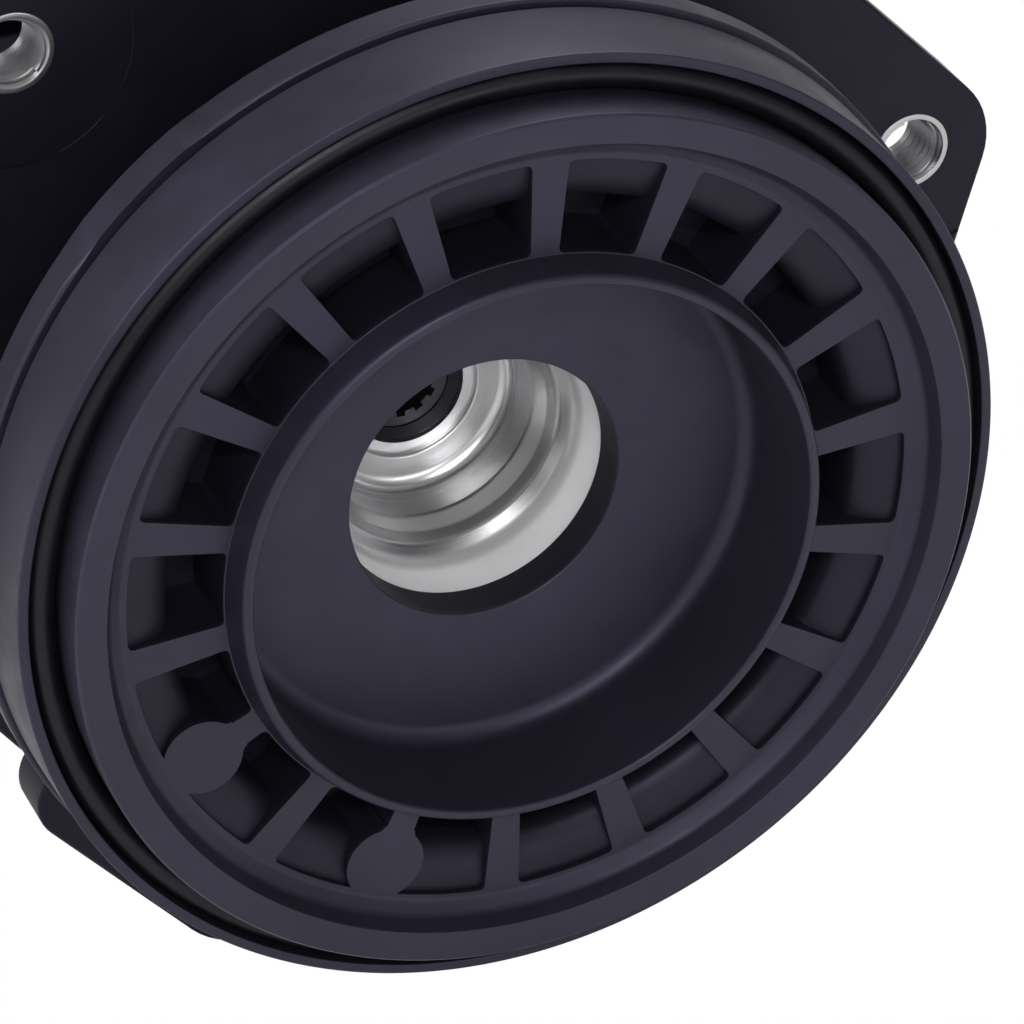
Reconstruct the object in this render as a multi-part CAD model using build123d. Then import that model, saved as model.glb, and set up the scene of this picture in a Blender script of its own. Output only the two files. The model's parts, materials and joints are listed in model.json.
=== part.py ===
from build123d import *
import os
from math import acos, cos, hypot, pi, radians, sin, tan

# Roots supercharger with a round, ribbed drive-end cover and a three-lug mounting plate.
# Millimetres. The drive axis lies along Y with the front at -Y, +Z is up and +X is to the right
# when it is seen from the front. The origin is on the drive axis, in the plane of the cover's rim.
# Turned outlines hold (radius, y). Angles run from +X towards +Z.

# ---- Fits ----
seat_gap = 0.02          # parts pressed or seated together
run_gap = 0.05           # plain running fit on the radius
join_gap = 0.1           # faces that meet with a small air gap
ball_gap = 0.1           # ball to race

# ---- Drive-end cover ----
rim_radius = 60.0
rim_width = 1.3
seal_groove_width = 3.7
spigot_height = 5.0
spigot_slope = 0.4       # the ring's face falls by this much towards the middle
spigot_width = 3.8
spigot_undercut = 0.7
edge_chamfer = 0.4
seal_groove_depth = 3.8
seal_section = 3.5
seal_side_gap = 0.175
web_height = 1.45        # rib faces stand this far in front of the rim's plane
web_fillet_width = 1.9
web_fillet_inset = 1.0
web_fillet_rise = 1.15
cover_depth = 11.6       # rim face to the joint
cover_draft = 0.25
crest_outer_slope = 1.2    # width of the crest's outer flank
crest_width = 1.1
crest_height = 5.2
crest_shoulder_drop = 0.9
recess_draft = 0.3
recess_depth = 10.4
recess_fillet = 1.8
hub_hole_radius = 16.75
hub_radius = 21.5
hub_wall = 5.1

# ---- Pockets between the ribs ----
rib_count = 18
rib_phase = 6.4
rib_angle = 5.25
pocket_edge = 0.4        # web between a pocket and the ring's fillet
pocket_width = 11.4
pocket_crown_width = 5.9
pocket_ledge = 0.85      # depth of the upright step under the web
pocket_crown_drop = 2.8  # fall of the rounded shoulder
pocket_floor_wall = 3.1
pocket_corner = 0.7
pad_ribs = (10, 12)
pad_radius = 4.8
pad_inset = 3.8          # pocket's outer edge to a pad's centre

# ---- Cover joint ----
gasket_thickness = 0.6
gasket_inset = 0.6
cover_screw_count = 6
cover_screw_phase = 30.0
cover_screw_inset = 7.0
cover_screw_radius = 2.5
cover_screw_grip = 6.0
cover_screw_head = 4.0
cover_screw_head_height = 4.5

# ---- Gear case ----
band_overhang = 1.0
band_length = 5.0
neck_gap = 2.0           # cover screws' heads to the neck
neck_wall = 6.0
plate_face = 37.2        # rim's plane to the lug plate's front face
plate_thickness = 8.0
bulkhead_thickness = 4.0
plate_overhang = 3.8
lug_circle = 69.5
lug_angles = (14.0, 131.0, 252.5)
lug_radius = 10.3
lug_depth = 8.5           # front face to the back of the lug
knuckle_radius = 6.0
knuckle_inset = 4.7      # lug circle to the knuckles' circle
knuckle_angle = 22.5
spot_face_radius = 14.2
spot_face_depth = 0.3
lug_rib_width = 7.0
lug_rib_height = 6.0
lug_rib_end = 60.0
insert_radius = 5.0
insert_bore = 3.4
insert_stand = 0.1
chamber_front_wall = 4.0
chamber_wall = 5.5
chamber_flange = 8.0

# ---- Drive-end bearing cup, seal and bearing ----
cup_wall = 2.0
cup_mouth_radius = 17.2
cup_barrel_radius = 16.4
cup_ring_radius = 14.7
cup_well_radius = 13.2
cup_eye_radius = 8.8
cup_barrel_depth = 7.0
cup_ring_depth = 10.4
cup_well_depth = 18.7
cup_floor_fillet = 1.2
cup_sleeve_length = 6.9
seal_case_wall = 0.8
seal_width = 5.0
socket_radius = 4.2
socket_teeth = 12
socket_tooth_depth = 0.6
socket_depth = 14.0
input_shaft_radius = 6.0
input_bearing_radius = 14.0
input_bearing_width = 8.0
bearing_boss_wall = 4.0
circlip_thickness = 1.2
circlip_gap_angle = 40.0

# ---- Coupling ----
coupling_radius = 15.0
coupling_flange = 4.0
coupling_disc_thickness = 5.0
coupling_gap = 0.4
coupling_pin_radius = 2.0
coupling_pin_circle = 10.5
coupling_pin_count = 3
coupling_hole_gap = 0.15

# ---- Timing gears ----
shaft_spacing = 48.0
gear_teeth = 32
gear_width = 10.0
gear_backlash = 0.15
gear_hub_length = 3.0
pressure_angle = 20.0
gear_web_hole = 3.0
gear_web_circle = 15.5
gear_end_gap = 2.0

# ---- Bearing plate and shafts ----
bearing_plate_thickness = 14.0
shaft_front_radius = 7.5
gear_seat_radius = 7.0
front_bearing_radius = 16.0
front_bearing_width = 9.0
shaft_seal_radius = 11.5
rotor_seat_radius = 9.0
shaft_rear_radius = 6.0
rear_bearing_radius = 14.0
rear_bearing_width = 8.0
nut_thickness = 5.0
nut_across_flats = 19.0

# ---- Rotors and their housing ----
rotor_lobes = 3
rotor_length = 104.0
rotor_end_gap = 0.3
rotor_flank_gap = 0.2
rotor_tip_gap = 0.3
rotor_bore_hole = 5.0
rotor_hole_circle = 20.5
rotor_phase = 60.0       # angle of one lobe
housing_wall = 6.4
housing_flange = 8.0
cooling_rib_count = 6
cooling_rib_thickness = 2.4
cooling_rib_height = 3.0
port_width = 44.0
port_length = 70.0
port_flange_width = 72.0
port_flange_length = 94.0
port_flange_thickness = 8.0
port_flange_height = 53.0  # drive axis to either port face
port_corner = 9.0
port_screw_inset = 7.0     # flange's edge to its screws
port_stub_wall = 7.0
port_screw_depth = 12.0
outlet_length = 54.0
outlet_flange_length = 78.0

# ---- Case screws, dowels and plugs ----
screw_radius = 3.0
screw_core_radius = 2.5
screw_head_radius = 5.0
screw_head_height = 6.0
screw_hole_gap = 0.35
screw_circle = 44.5
screw_fan_angle = 50.0     # between the screws about either shaft line
screw_boss_radius = 7.0
flange_radius = 41.0
screw_thread_length = 14.0
dowel_radius = 3.0
dowel_length = 12.0
dowel_boss_radius = 6.0
dowel_angle = 25.0
plug_radius = 7.0
plug_head_radius = 10.0
plug_head_height = 6.0
plug_washer = 1.5
plug_boss_radius = 12.0
plug_boss_height = 3.0
plug_position = 17.0     # gear case joint forward to the plugs
plug_offset = 16.0       # to either side of the middle

# ---- Rear cover ----
rear_cover_thickness = 8.0
rear_boss_radius = 19.0
rear_boss_height = 8.0
rear_strap_width = 12.0
rear_strap_height = 3.0
rear_cap_thickness = 2.5
rear_cap_sheet = 0.8

# ---- Inlet duct ----
duct_wall = 4.0
duct_flange_thickness = 7.0
duct_width = 56.0
duct_length = 80.0
duct_height = 50.0
duct_corner = 12.0
duct_spigot_bore = 20.0
duct_spigot_wall = 3.5
duct_spigot_length = 40.0
duct_collar_radius = 25.0
duct_collar_length = 2.0    # collar that stops the intake hose
spigot_end_chamfer = 0.6
duct_axis_height = 32.0   # base of the duct to the spigot's axis
duct_rib_count = 4
duct_rib_thickness = 3.0
duct_rib_height = 2.0

# ---- Bypass valve and its vacuum actuator ----
bypass_bore = 14.0
bypass_wall = 3.5
bypass_length = 56.0
bypass_stop = 0.5          # step that stops the bypass hose
bypass_along = 22.0       # duct's front face to the bypass neck's axis
bypass_shaft_out = 23.0   # duct's side to the butterfly shaft
bypass_shaft_radius = 3.0
bush_wall = 1.5
bush_stand = 2.0
bush_boss_wall = 3.0
disc_gap = 0.3
disc_thickness = 1.6
disc_screw_radius = 1.2
disc_screw_spacing = 14.0
lever_arm = 11.0
lever_thickness = 3.0
lever_width = 9.0
lever_hub_radius = 6.5
lever_swing = 60.0
slot_clearance = 0.45
rod_radius = 2.5
rod_pin_radius = 2.0
rod_stand_off = 9.0       # lever's front face back to the rod's axis
can_radius = 17.0
can_height = 24.0
can_wall = 1.2
can_seam_height = 2.4
can_seam_width = 1.8
can_drop = 19.5           # bypass axis down to the actuator's top
plate_disc_radius = 13.0
plate_disc_thickness = 1.5
spring_radius = 9.0
spring_wire = 0.6
spring_turns = 4
bracket_thickness = 2.5
bracket_width = 22.0
bracket_tab_height = 16.0
bracket_screw_radius = 2.5
bracket_screw_spacing = 13.0
nipple_radius = 2.5
nipple_length = 12.0

# ---- Places along the drive axis that follow from the sizes ----
hub_back = recess_depth + hub_wall
band_front = cover_depth + gasket_thickness
band_back = band_front + band_length
plate_back = plate_face + plate_thickness
cup_front = hub_back + join_gap
cup_floor = cup_front + cup_well_depth
input_bearing_front = cup_floor + cup_sleeve_length + join_gap
input_bearing_back = input_bearing_front + input_bearing_width
flange_front = input_bearing_back + 2 * circlip_thickness + coupling_gap
flange_back = flange_front + coupling_flange
coupling_disc_front = flange_back + coupling_gap
coupling_disc_back = coupling_disc_front + coupling_disc_thickness
gear_hub_front = coupling_disc_back + coupling_gap
gear_front = gear_hub_front + gear_hub_length
gear_back = gear_front + gear_width
case_back = gear_back + gear_end_gap
bearing_plate_back = case_back + bearing_plate_thickness
housing_front = bearing_plate_back
housing_back = housing_front + rotor_length + 2 * rotor_end_gap
rear_cover_back = housing_back + rear_cover_thickness
rear_boss_back = rear_cover_back + rear_boss_height
rear_bearing_back = rear_boss_back - rear_cap_thickness - join_gap
rear_bearing_front = rear_bearing_back - rear_bearing_width

# ---- Radii and heights that follow from the sizes ----
groove_outer_radius = rim_radius - rim_width
spigot_radius = groove_outer_radius - seal_groove_width
spigot_inner_radius = spigot_radius - spigot_width
web_fillet_end = spigot_inner_radius - web_fillet_inset
web_fillet_start = web_fillet_end - web_fillet_width
pocket_outer_radius = web_fillet_start - pocket_edge
pocket_crown_radius = pocket_outer_radius - pocket_crown_width
pad_centre_radius = pocket_outer_radius - pad_inset
crest_base_radius = pocket_outer_radius - pocket_width
crest_shoulder_radius = crest_base_radius - crest_outer_slope
crest_inner_radius = crest_shoulder_radius - crest_width
recess_radius = crest_inner_radius - recess_draft
cover_screw_circle = rim_radius - cover_screw_inset
band_radius = rim_radius + band_overhang
neck_radius = cover_screw_circle - cover_screw_head - neck_gap
plate_radius = rim_radius + plate_overhang
knuckle_circle = lug_circle - knuckle_inset
driven_axis = (-shaft_spacing, 0.0)
drive_axis = (0.0, 0.0)
shaft_axes = (drive_axis, driven_axis)
middle_x = -shaft_spacing / 2
pitch_radius = shaft_spacing / 2
gear_module = shaft_spacing / gear_teeth
lobe_height = pitch_radius / rotor_lobes
rotor_radius = pitch_radius + lobe_height
rotor_bore = rotor_radius - rotor_flank_gap + rotor_tip_gap
case_radius = rotor_bore + housing_wall
chamber_radius = case_radius
chamber_bore = chamber_radius - chamber_wall
chamber_front = plate_back + chamber_front_wall
fill_x = middle_x + plug_offset
drain_x = middle_x - plug_offset
duct_base = port_flange_height + gasket_thickness
duct_axis = duct_base + duct_axis_height
duct_top = duct_base + duct_height
port_middle = (housing_front + housing_back) / 2
duct_side = middle_x - duct_width / 2
bypass_y = port_middle - duct_length / 2 + bypass_along
bypass_shaft_x = duct_side - bypass_shaft_out
bypass_outer = bypass_bore + bypass_wall
lever_front = bypass_y + bypass_outer + bush_stand + join_gap
rod_x = bypass_shaft_x - lever_arm
rod_y = lever_front + rod_stand_off
can_top = duct_axis - can_drop
can_base = can_top - can_height
pin_height = lever_arm * tan(radians(lever_swing / 2))
rod_stroke = 2 * pin_height


def polar(radius, angle, centre=drive_axis):
    """Point (x, z) at a radius and an angle about a centre."""
    return (centre[0] + radius * cos(radians(angle)), centre[1] + radius * sin(radians(angle)))


def turned(outline, centre=drive_axis):
    """Solid turned about the line along Y through a centre; the outline holds (radius, y)."""
    face = make_face(Polyline(*outline, close=True))
    return Pos(centre[0], 0, centre[1]) * revolve(face, Axis.Y)


def slab(sketch, front, back):
    """A sketch of the X-Z plane carried along Y from front to back."""
    plane = Plane(origin=(0, front, 0), x_dir=(1, 0, 0), z_dir=(0, -1, 0))
    return extrude(plane * sketch, amount=front - back)


def bar(radius, front, back, centre=drive_axis):
    """Round bar along Y."""
    return slab(Pos(*centre) * Circle(radius), front, back)


def ring(inner, outer, front, back, centre=drive_axis):
    """Plain ring along Y."""
    return turned([(inner, front), (outer, front), (outer, back), (inner, back)], centre)


def post(radius, low, high, x, y):
    """Round bar along Z."""
    return Pos(x, y, low) * Cylinder(radius, high - low, align=(Align.CENTER, Align.CENTER, Align.MIN))


def block(low, high):
    """Box between two corners."""
    size = [b - a for a, b in zip(low, high)]
    middle = [(a + b) / 2 for a, b in zip(low, high)]
    return Pos(*middle) * Box(*size)


def stadium(radius):
    """Two equal circles about the shaft lines, joined by straight runs."""
    return Pos(middle_x, 0) * SlotCenterToCenter(shaft_spacing, 2 * radius)


def union(shapes):
    """All the shapes as one."""
    total = shapes[0]
    for shape in shapes[1:]:
        total += shape
    return total


def group(solids):
    """Separate solids kept in one node."""
    parts = []
    for solid in solids:
        parts.extend(solid.solids())
    return Compound(parts)


def case_screw_points():
    """The eight screw places round the two shaft lines."""
    fan = (-screw_fan_angle, 0, screw_fan_angle)
    right = [polar(screw_circle, angle) for angle in fan]
    left = [polar(screw_circle, 180 - angle, driven_axis) for angle in fan]
    middle = [(middle_x, screw_circle), (middle_x, -screw_circle)]
    return right + left + middle


def flange_outline():
    """Joint outline of the case with a round boss at each screw and each dowel."""
    screw_bosses = [Pos(*point) * Circle(screw_boss_radius) for point in case_screw_points()]
    dowel_bosses = [Pos(*point) * Circle(dowel_boss_radius) for point in dowel_points()]
    return stadium(flange_radius) + screw_bosses + dowel_bosses


def drilled(points, radius, front, back):
    """Round holes along Y, as one cutter."""
    return union([bar(radius, front, back, point) for point in points])


def cap_screw(shank, length, head, head_height):
    """Socket-head screw along -Z: the head stands on z = 0 and the shank runs down."""
    body = Cylinder(head, head_height, align=(Align.CENTER, Align.CENTER, Align.MIN))
    body = chamfer(body.edges().group_by(Axis.Z)[-1], head * 0.1)
    body += Pos(0, 0, -length) * Cylinder(shank, length, align=(Align.CENTER, Align.CENTER, Align.MIN))
    socket = extrude(RegularPolygon(head * 0.55, 6), amount=head_height * 0.55)
    return body - Pos(0, 0, head_height * 0.45) * socket


def hex_screw(shank, length, head, head_height):
    """Hexagon flange screw along -Z: the flange stands on z = 0 and the shank runs down."""
    flange = Cylinder(head, head_height * 0.3, align=(Align.CENTER, Align.CENTER, Align.MIN))
    body = flange + extrude(RegularPolygon(head * 0.88, 6), amount=head_height)
    return body + Pos(0, 0, -length) * Cylinder(shank, length, align=(Align.CENTER, Align.CENTER, Align.MIN))


# ---- Drive end ----

def cover_outline():
    """Half section of the drive-end cover before its pockets are cut."""
    lip = -crest_height
    shoulder = -(crest_height - crest_shoulder_drop)
    ring_inner = -(spigot_height - spigot_slope)
    fillet_top = -(web_height + web_fillet_rise)
    groove_wall = spigot_radius - spigot_undercut
    crown = ((crest_shoulder_radius + crest_inner_radius) / 2 + 0.25, lip + 0.12)
    bend_radius = web_fillet_start + 0.62 * (web_fillet_end - web_fillet_start)
    bend = (bend_radius, -web_height - 0.3 * web_fillet_rise)
    floor_start = (recess_radius - recess_fillet, recess_depth)
    floor_end = (recess_radius, recess_depth - recess_fillet)
    floor_mid = (recess_radius - 0.293 * recess_fillet, recess_depth - 0.293 * recess_fillet)
    web = [(crest_shoulder_radius, shoulder), (crest_base_radius, -web_height)]
    web += [(web_fillet_start, -web_height)]
    outside = [
        (web_fillet_end, fillet_top), (spigot_inner_radius, ring_inner),
        (spigot_radius - edge_chamfer, -spigot_height), (spigot_radius, -spigot_height + edge_chamfer),
        (spigot_radius, 0), (groove_wall, 0), (groove_wall, seal_groove_depth),
        (groove_outer_radius, seal_groove_depth), (groove_outer_radius, 0),
        (rim_radius - edge_chamfer / 2, 0), (rim_radius, edge_chamfer / 2),
        (rim_radius + cover_draft, cover_depth), (hub_radius, cover_depth),
        (hub_radius, hub_back), (hub_hole_radius, hub_back), (hub_hole_radius, recess_depth), floor_start,
    ]
    return [
        Polyline(*outside),
        ThreePointArc(floor_start, floor_mid, floor_end),
        Polyline(floor_end, (crest_inner_radius, lip)),
        ThreePointArc((crest_inner_radius, lip), crown, (crest_shoulder_radius, shoulder)),
        Polyline(*web),
        ThreePointArc((web_fillet_start, -web_height), bend, (web_fillet_end, fillet_top)),
    ]


def pocket_cutter():
    """One pocket: an upright step, a rounded shoulder and a deep part next to the hub."""
    ledge = -web_height + pocket_ledge
    shoulder_end = ledge + pocket_crown_drop
    floor = cover_depth - pocket_floor_wall
    above = -web_height - 1.0
    span = pocket_outer_radius - pocket_crown_radius
    crown = (pocket_crown_radius + 0.32 * span, ledge + 0.22 * pocket_crown_drop)
    edges = [
        Polyline((pocket_crown_radius, shoulder_end), (pocket_crown_radius, floor),
                 (crest_base_radius, floor), (crest_base_radius, above),
                 (pocket_outer_radius, above), (pocket_outer_radius, ledge)),
        ThreePointArc((pocket_outer_radius, ledge), crown, (pocket_crown_radius, shoulder_end)),
    ]
    body = revolve(make_face(edges), Axis.Y)
    return body & slab(pocket_sector(), above, cover_depth)


def pocket_sector():
    """Outline of one pocket seen from the front, with rounded corners, starting at angle zero."""
    span = 360 / rib_count - rib_angle
    inner = [polar(crest_base_radius, span * share) for share in (0, 0.5, 1)]
    outer = [polar(pocket_outer_radius, span * share) for share in (0, 0.5, 1)]
    edges = [ThreePointArc(*inner), Line(inner[2], outer[2]), ThreePointArc(*outer), Line(outer[0], inner[0])]
    sector = make_face(edges)
    return fillet(sector.vertices(), pocket_corner)


def pads():
    """Round pads that two of the ribs carry, level with the web."""
    pitch = 360 / rib_count
    places = [polar(pad_centre_radius, rib_phase + pitch * index) for index in pad_ribs]
    return union([bar(pad_radius, -web_height - 2, cover_depth, place) for place in places])


def front_cover():
    """Ribbed cover with the locating spigot, the seal groove and the hub recess."""
    cover = revolve(make_face(cover_outline()), Axis.Y)
    pitch = 360 / rib_count
    cutter = pocket_cutter()
    first = rib_phase + rib_angle / 2
    cutters = union([Rot(0, -(first + pitch * index), 0) * cutter for index in range(rib_count)])
    cover -= cutters - pads()
    tapped = cover_screw_points()
    return cover - drilled(tapped, cover_screw_radius, cover_depth - cover_screw_grip - 0.5, cover_depth)


def cover_screw_points():
    """Places of the screws that hold the cover, on one circle."""
    pitch = 360 / cover_screw_count
    angles = [cover_screw_phase + pitch * index for index in range(cover_screw_count)]
    return [polar(cover_screw_circle, angle) for angle in angles]


def face_seal():
    """Round-section seal ring that lies in the rim's groove."""
    centre = groove_outer_radius - seal_side_gap - seal_section / 2
    depth = seal_groove_depth - seal_section / 2 - seat_gap
    section = Pos(centre, depth) * Circle(seal_section / 2)
    return revolve(section, Axis.Y)


def cover_gasket():
    """Thin gasket between the cover and the gear case, set in from the edge."""
    sheet = ring(neck_radius - neck_wall, rim_radius - gasket_inset, cover_depth, band_front)
    hole = cover_screw_radius + screw_hole_gap
    return sheet - drilled(cover_screw_points(), hole, cover_depth, band_front)


def cover_screws():
    """Flange screws through the band into the cover."""
    screw = hex_screw(cover_screw_radius - seat_gap, band_length + gasket_thickness + cover_screw_grip,
                      cover_screw_head, cover_screw_head_height)
    return group([Pos(x, band_back, z) * Rot(-90, 0, 0) * screw for x, z in cover_screw_points()])


def tangent_web(first, first_radius, second, second_radius):
    """Outline between two circles, closed by the two straight lines that touch both."""
    along = (second[0] - first[0], second[1] - first[1])
    span = hypot(*along)
    along = (along[0] / span, along[1] / span)
    lean = (first_radius - second_radius) / span
    reach = (1 - lean * lean) ** 0.5
    corners = []
    for side in (1, -1):
        normal = (lean * along[0] - side * reach * along[1], lean * along[1] + side * reach * along[0])
        ends = [(centre[0] + radius * normal[0], centre[1] + radius * normal[1])
                for centre, radius in ((first, first_radius), (second, second_radius))]
        corners += ends[::side]
    return make_face(Polyline(*corners, close=True))


def lug_outline():
    """Mounting plate outline: a round plate with three lugs, each between two rounded knuckles."""
    outline = Circle(plate_radius)
    for angle in lug_angles:
        lug = polar(lug_circle, angle)
        outline += Pos(*lug) * Circle(lug_radius)
        for side in (-1, 1):
            knuckle = polar(knuckle_circle, angle + side * knuckle_angle)
            outline += Pos(*knuckle) * Circle(knuckle_radius)
            outline += tangent_web(lug, lug_radius, knuckle, knuckle_radius)
    return outline


def gear_case():
    """Band, neck, mounting plate with three lugs, and the chamber for the timing gears."""
    neck_inner = neck_radius - neck_wall
    nose_back = plate_face - bulkhead_thickness
    case = ring(neck_inner, band_radius, band_front, band_back)
    case += ring(neck_inner, neck_radius, band_back, nose_back)
    case += bar(neck_radius, nose_back, plate_face)
    case += slab(lug_outline(), plate_face, plate_back)
    case += slab(stadium(chamber_radius), plate_back, case_back)
    case += slab(flange_outline(), case_back - chamber_flange, case_back)
    for angle in lug_angles:
        place = polar(lug_circle, angle)
        case += bar(lug_radius, plate_back, plate_face + lug_depth, place)
        rib = Pos(*polar(lug_rib_end / 2, angle)) * Rot(0, 0, angle) * Rectangle(lug_rib_end, lug_rib_width)
        case += slab(rib, plate_back, plate_back + lug_rib_height)
    case += plug_bosses()
    case -= slab(stadium(chamber_bore), chamber_front, case_back)
    case -= bar(hub_radius + seat_gap, nose_back, carrier_shoulder())
    case -= bar(carrier_radius() + seat_gap, nose_back, chamber_front)
    case -= drilled(lug_points(), insert_radius + seat_gap, plate_face, plate_face + lug_depth)
    case -= spot_faces()
    case -= drilled(cover_screw_points(), cover_screw_radius + screw_hole_gap, band_front, band_back)
    case -= drilled(case_screw_points(), screw_radius + screw_hole_gap, case_back - chamber_flange, case_back)
    return case - plug_holes() - dowel_holes(case_back - dowel_length / 2, case_back)


def carrier_radius():
    """Outside of the bearing carrier where it is pressed into the bulkhead."""
    return input_bearing_radius + seat_gap + bearing_boss_wall


def carrier_shoulder():
    """Seat of the bearing carrier's shoulder, one wall behind the cup's floor."""
    return cup_floor + 2 * cup_wall + join_gap


def bearing_carrier():
    """Turned carrier of the cup and the input bearing, pressed into the bulkhead up to its shoulder."""
    back = input_bearing_back + 2 * circlip_thickness
    shoulder = carrier_shoulder() - join_gap
    carrier = bar(hub_radius, cup_front, shoulder) + bar(carrier_radius(), shoulder, back)
    carrier -= bar(cup_outer_radius() + seat_gap, cup_front, cup_floor + cup_wall + join_gap)
    carrier -= bar(cup_sleeve_radius() + seat_gap, cup_front, input_bearing_front)
    return carrier - bar(input_bearing_radius + seat_gap, input_bearing_front - join_gap / 2, back)


def lug_points():
    """Places of the three lug holes."""
    return [polar(lug_circle, angle) for angle in lug_angles]


def spot_faces():
    """Shallow round machined seats about the lug holes, clear of the neck."""
    back = plate_face + spot_face_depth
    seats = drilled(lug_points(), spot_face_radius, plate_face, back)
    return seats - bar(neck_radius + 1.0, plate_face, back)


def lug_inserts():
    """Thread inserts for the three mounting screws."""
    front = plate_face + spot_face_depth - insert_stand
    back = plate_face + lug_depth
    return group([ring(insert_bore, insert_radius, front, back, point) for point in lug_points()])


def cup_outer_radius():
    """Outside of the bearing cup's barrel."""
    return cup_mouth_radius + cup_wall - 0.2


def cup_sleeve_radius():
    """Outside of the sleeve behind the cup's eye."""
    return cup_eye_radius + cup_wall


def bearing_cup():
    """Stepped steel cup behind the cover's hole: barrel, ring, well, flat floor and sleeve."""
    barrel_end = cup_front + cup_barrel_depth
    ring_end = cup_front + cup_ring_depth
    back = cup_floor + cup_wall
    sleeve_end = cup_floor + cup_sleeve_length
    outer = cup_outer_radius()
    ring_step = (barrel_end + ring_end) / 2
    edges = [
        Polyline((cup_well_radius - cup_floor_fillet, cup_floor), (cup_eye_radius, cup_floor),
                 (cup_eye_radius, sleeve_end), (cup_sleeve_radius(), sleeve_end), (cup_sleeve_radius(), back),
                 (outer, back), (outer, cup_front), (cup_mouth_radius, cup_front),
                 (cup_barrel_radius, barrel_end)),
        ThreePointArc((cup_barrel_radius, barrel_end), (cup_ring_radius + 0.45, barrel_end + 0.5),
                      (cup_ring_radius, ring_step)),
        Polyline((cup_ring_radius, ring_step), (cup_ring_radius - 0.1, ring_end - 0.8)),
        ThreePointArc((cup_ring_radius - 0.1, ring_end - 0.8), (cup_well_radius + 0.7, ring_end - 0.35),
                      (cup_well_radius, ring_end + 0.8)),
        Polyline((cup_well_radius, ring_end + 0.8), (cup_well_radius, cup_floor - cup_floor_fillet)),
        ThreePointArc((cup_well_radius, cup_floor - cup_floor_fillet),
                      (cup_well_radius - 0.293 * cup_floor_fillet, cup_floor - 0.293 * cup_floor_fillet),
                      (cup_well_radius - cup_floor_fillet, cup_floor)),
    ]
    return revolve(make_face(edges), Axis.Y)


def seal_front():
    """Front face of the input seal, just behind the cup's floor."""
    return cup_floor + 0.8


def input_seal_case():
    """Pressed steel case of the input shaft's seal."""
    outer = cup_eye_radius - seat_gap
    front = seal_front()
    inner = (outer + input_shaft_radius) / 2
    lining = outer - seal_case_wall
    web_back = front + seal_case_wall
    return turned([(inner, front), (outer, front), (outer, front + seal_width),
                   (lining, front + seal_width), (lining, web_back), (inner, web_back)])


def input_seal_lip():
    """Rubber body and lip of the input shaft's seal."""
    outer = cup_eye_radius - seat_gap - seal_case_wall - seat_gap
    front = seal_front() + seal_case_wall + seat_gap
    inner = input_shaft_radius + run_gap
    back = front + seal_width - 1.2
    return turned([(inner, front + 0.6), (inner + 1.2, front), (outer, front), (outer, back),
                   (inner + 1.0, back), (inner, front + 1.4)])


def ball_bearing(bore, outside, width, front, count, centre):
    """Deep-groove bearing: its outer race, its inner race and its balls."""
    middle = (bore + outside) / 2
    ball = 0.3 * (outside - bore)
    y = front + width / 2
    groove = Pos(centre[0], y, centre[1]) * Rot(90, 0, 0) * Torus(middle, ball + ball_gap)
    outer_race = ring(middle + 0.6 * ball, outside, front, front + width, centre) - groove
    inner_race = ring(bore + seat_gap, middle - 0.6 * ball, front, front + width, centre) - groove
    places = [polar(middle, 360 * index / count, centre) for index in range(count)]
    balls = [Pos(x, y, z) * Sphere(ball) for x, z in places]
    return outer_race, inner_race, balls


def input_bearing():
    """Bearing of the input shaft."""
    return ball_bearing(input_shaft_radius, input_bearing_radius, input_bearing_width,
                        input_bearing_front, 8, drive_axis)


def input_circlip():
    """Open spring ring behind the input bearing."""
    front = input_bearing_back + join_gap / 2
    clip = ring(input_bearing_radius - 2.0, input_bearing_radius, front, front + circlip_thickness)
    gap_side = input_bearing_radius * 2 * tan(radians(circlip_gap_angle / 2))
    gap = Pos(0, front, -input_bearing_radius) * Box(gap_side, 4 * circlip_thickness, 8)
    return clip - gap


def input_shaft():
    """Short input shaft with a toothed socket in front and the coupling flange behind."""
    front = seal_front() + seal_case_wall + seat_gap + 0.8
    shaft = bar(input_shaft_radius, front, flange_back)
    shaft += bar(coupling_radius, flange_front, flange_back)
    shaft -= bar(socket_radius, front, front + socket_depth)
    pitch = 360 / socket_teeth
    tooth = Pos(socket_radius + socket_tooth_depth / 2 - 0.3, 0) * Rectangle(socket_tooth_depth + 0.6, 1.1)
    back = front + socket_depth
    shaft -= union([slab(Rot(0, 0, pitch * i) * tooth, front, back) for i in range(socket_teeth)])
    return shaft - drilled(pin_points(0), coupling_pin_radius + seat_gap, flange_front, flange_back)


def pin_points(offset):
    """Places of one set of coupling pins."""
    pitch = 360 / coupling_pin_count
    return [polar(coupling_pin_circle, offset + pitch * index) for index in range(coupling_pin_count)]


def other_pins():
    """Angle of the second set of pins, half-way between the first."""
    return 180 / coupling_pin_count


def coupling_pins():
    """Pins of the front flange and of the gear's hub; each set reaches through the disc."""
    front_set = drilled(pin_points(0), coupling_pin_radius, flange_front + 2 * join_gap, coupling_disc_back)
    rear_set = drilled(pin_points(other_pins()), coupling_pin_radius, coupling_disc_front, gear_front)
    return group([front_set, rear_set])


def coupling_disc():
    """Plastic disc that passes the drive from one set of pins to the other."""
    disc = ring(gear_seat_radius + 0.5 - 2, coupling_radius, coupling_disc_front, coupling_disc_back)
    points = pin_points(0) + pin_points(other_pins())
    hole = coupling_pin_radius + coupling_hole_gap
    return disc - drilled(points, hole, coupling_disc_front, coupling_disc_back)


# ---- Timing gears ----

def involute(angle):
    """Involute function of an angle in radians."""
    return tan(angle) - angle


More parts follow.
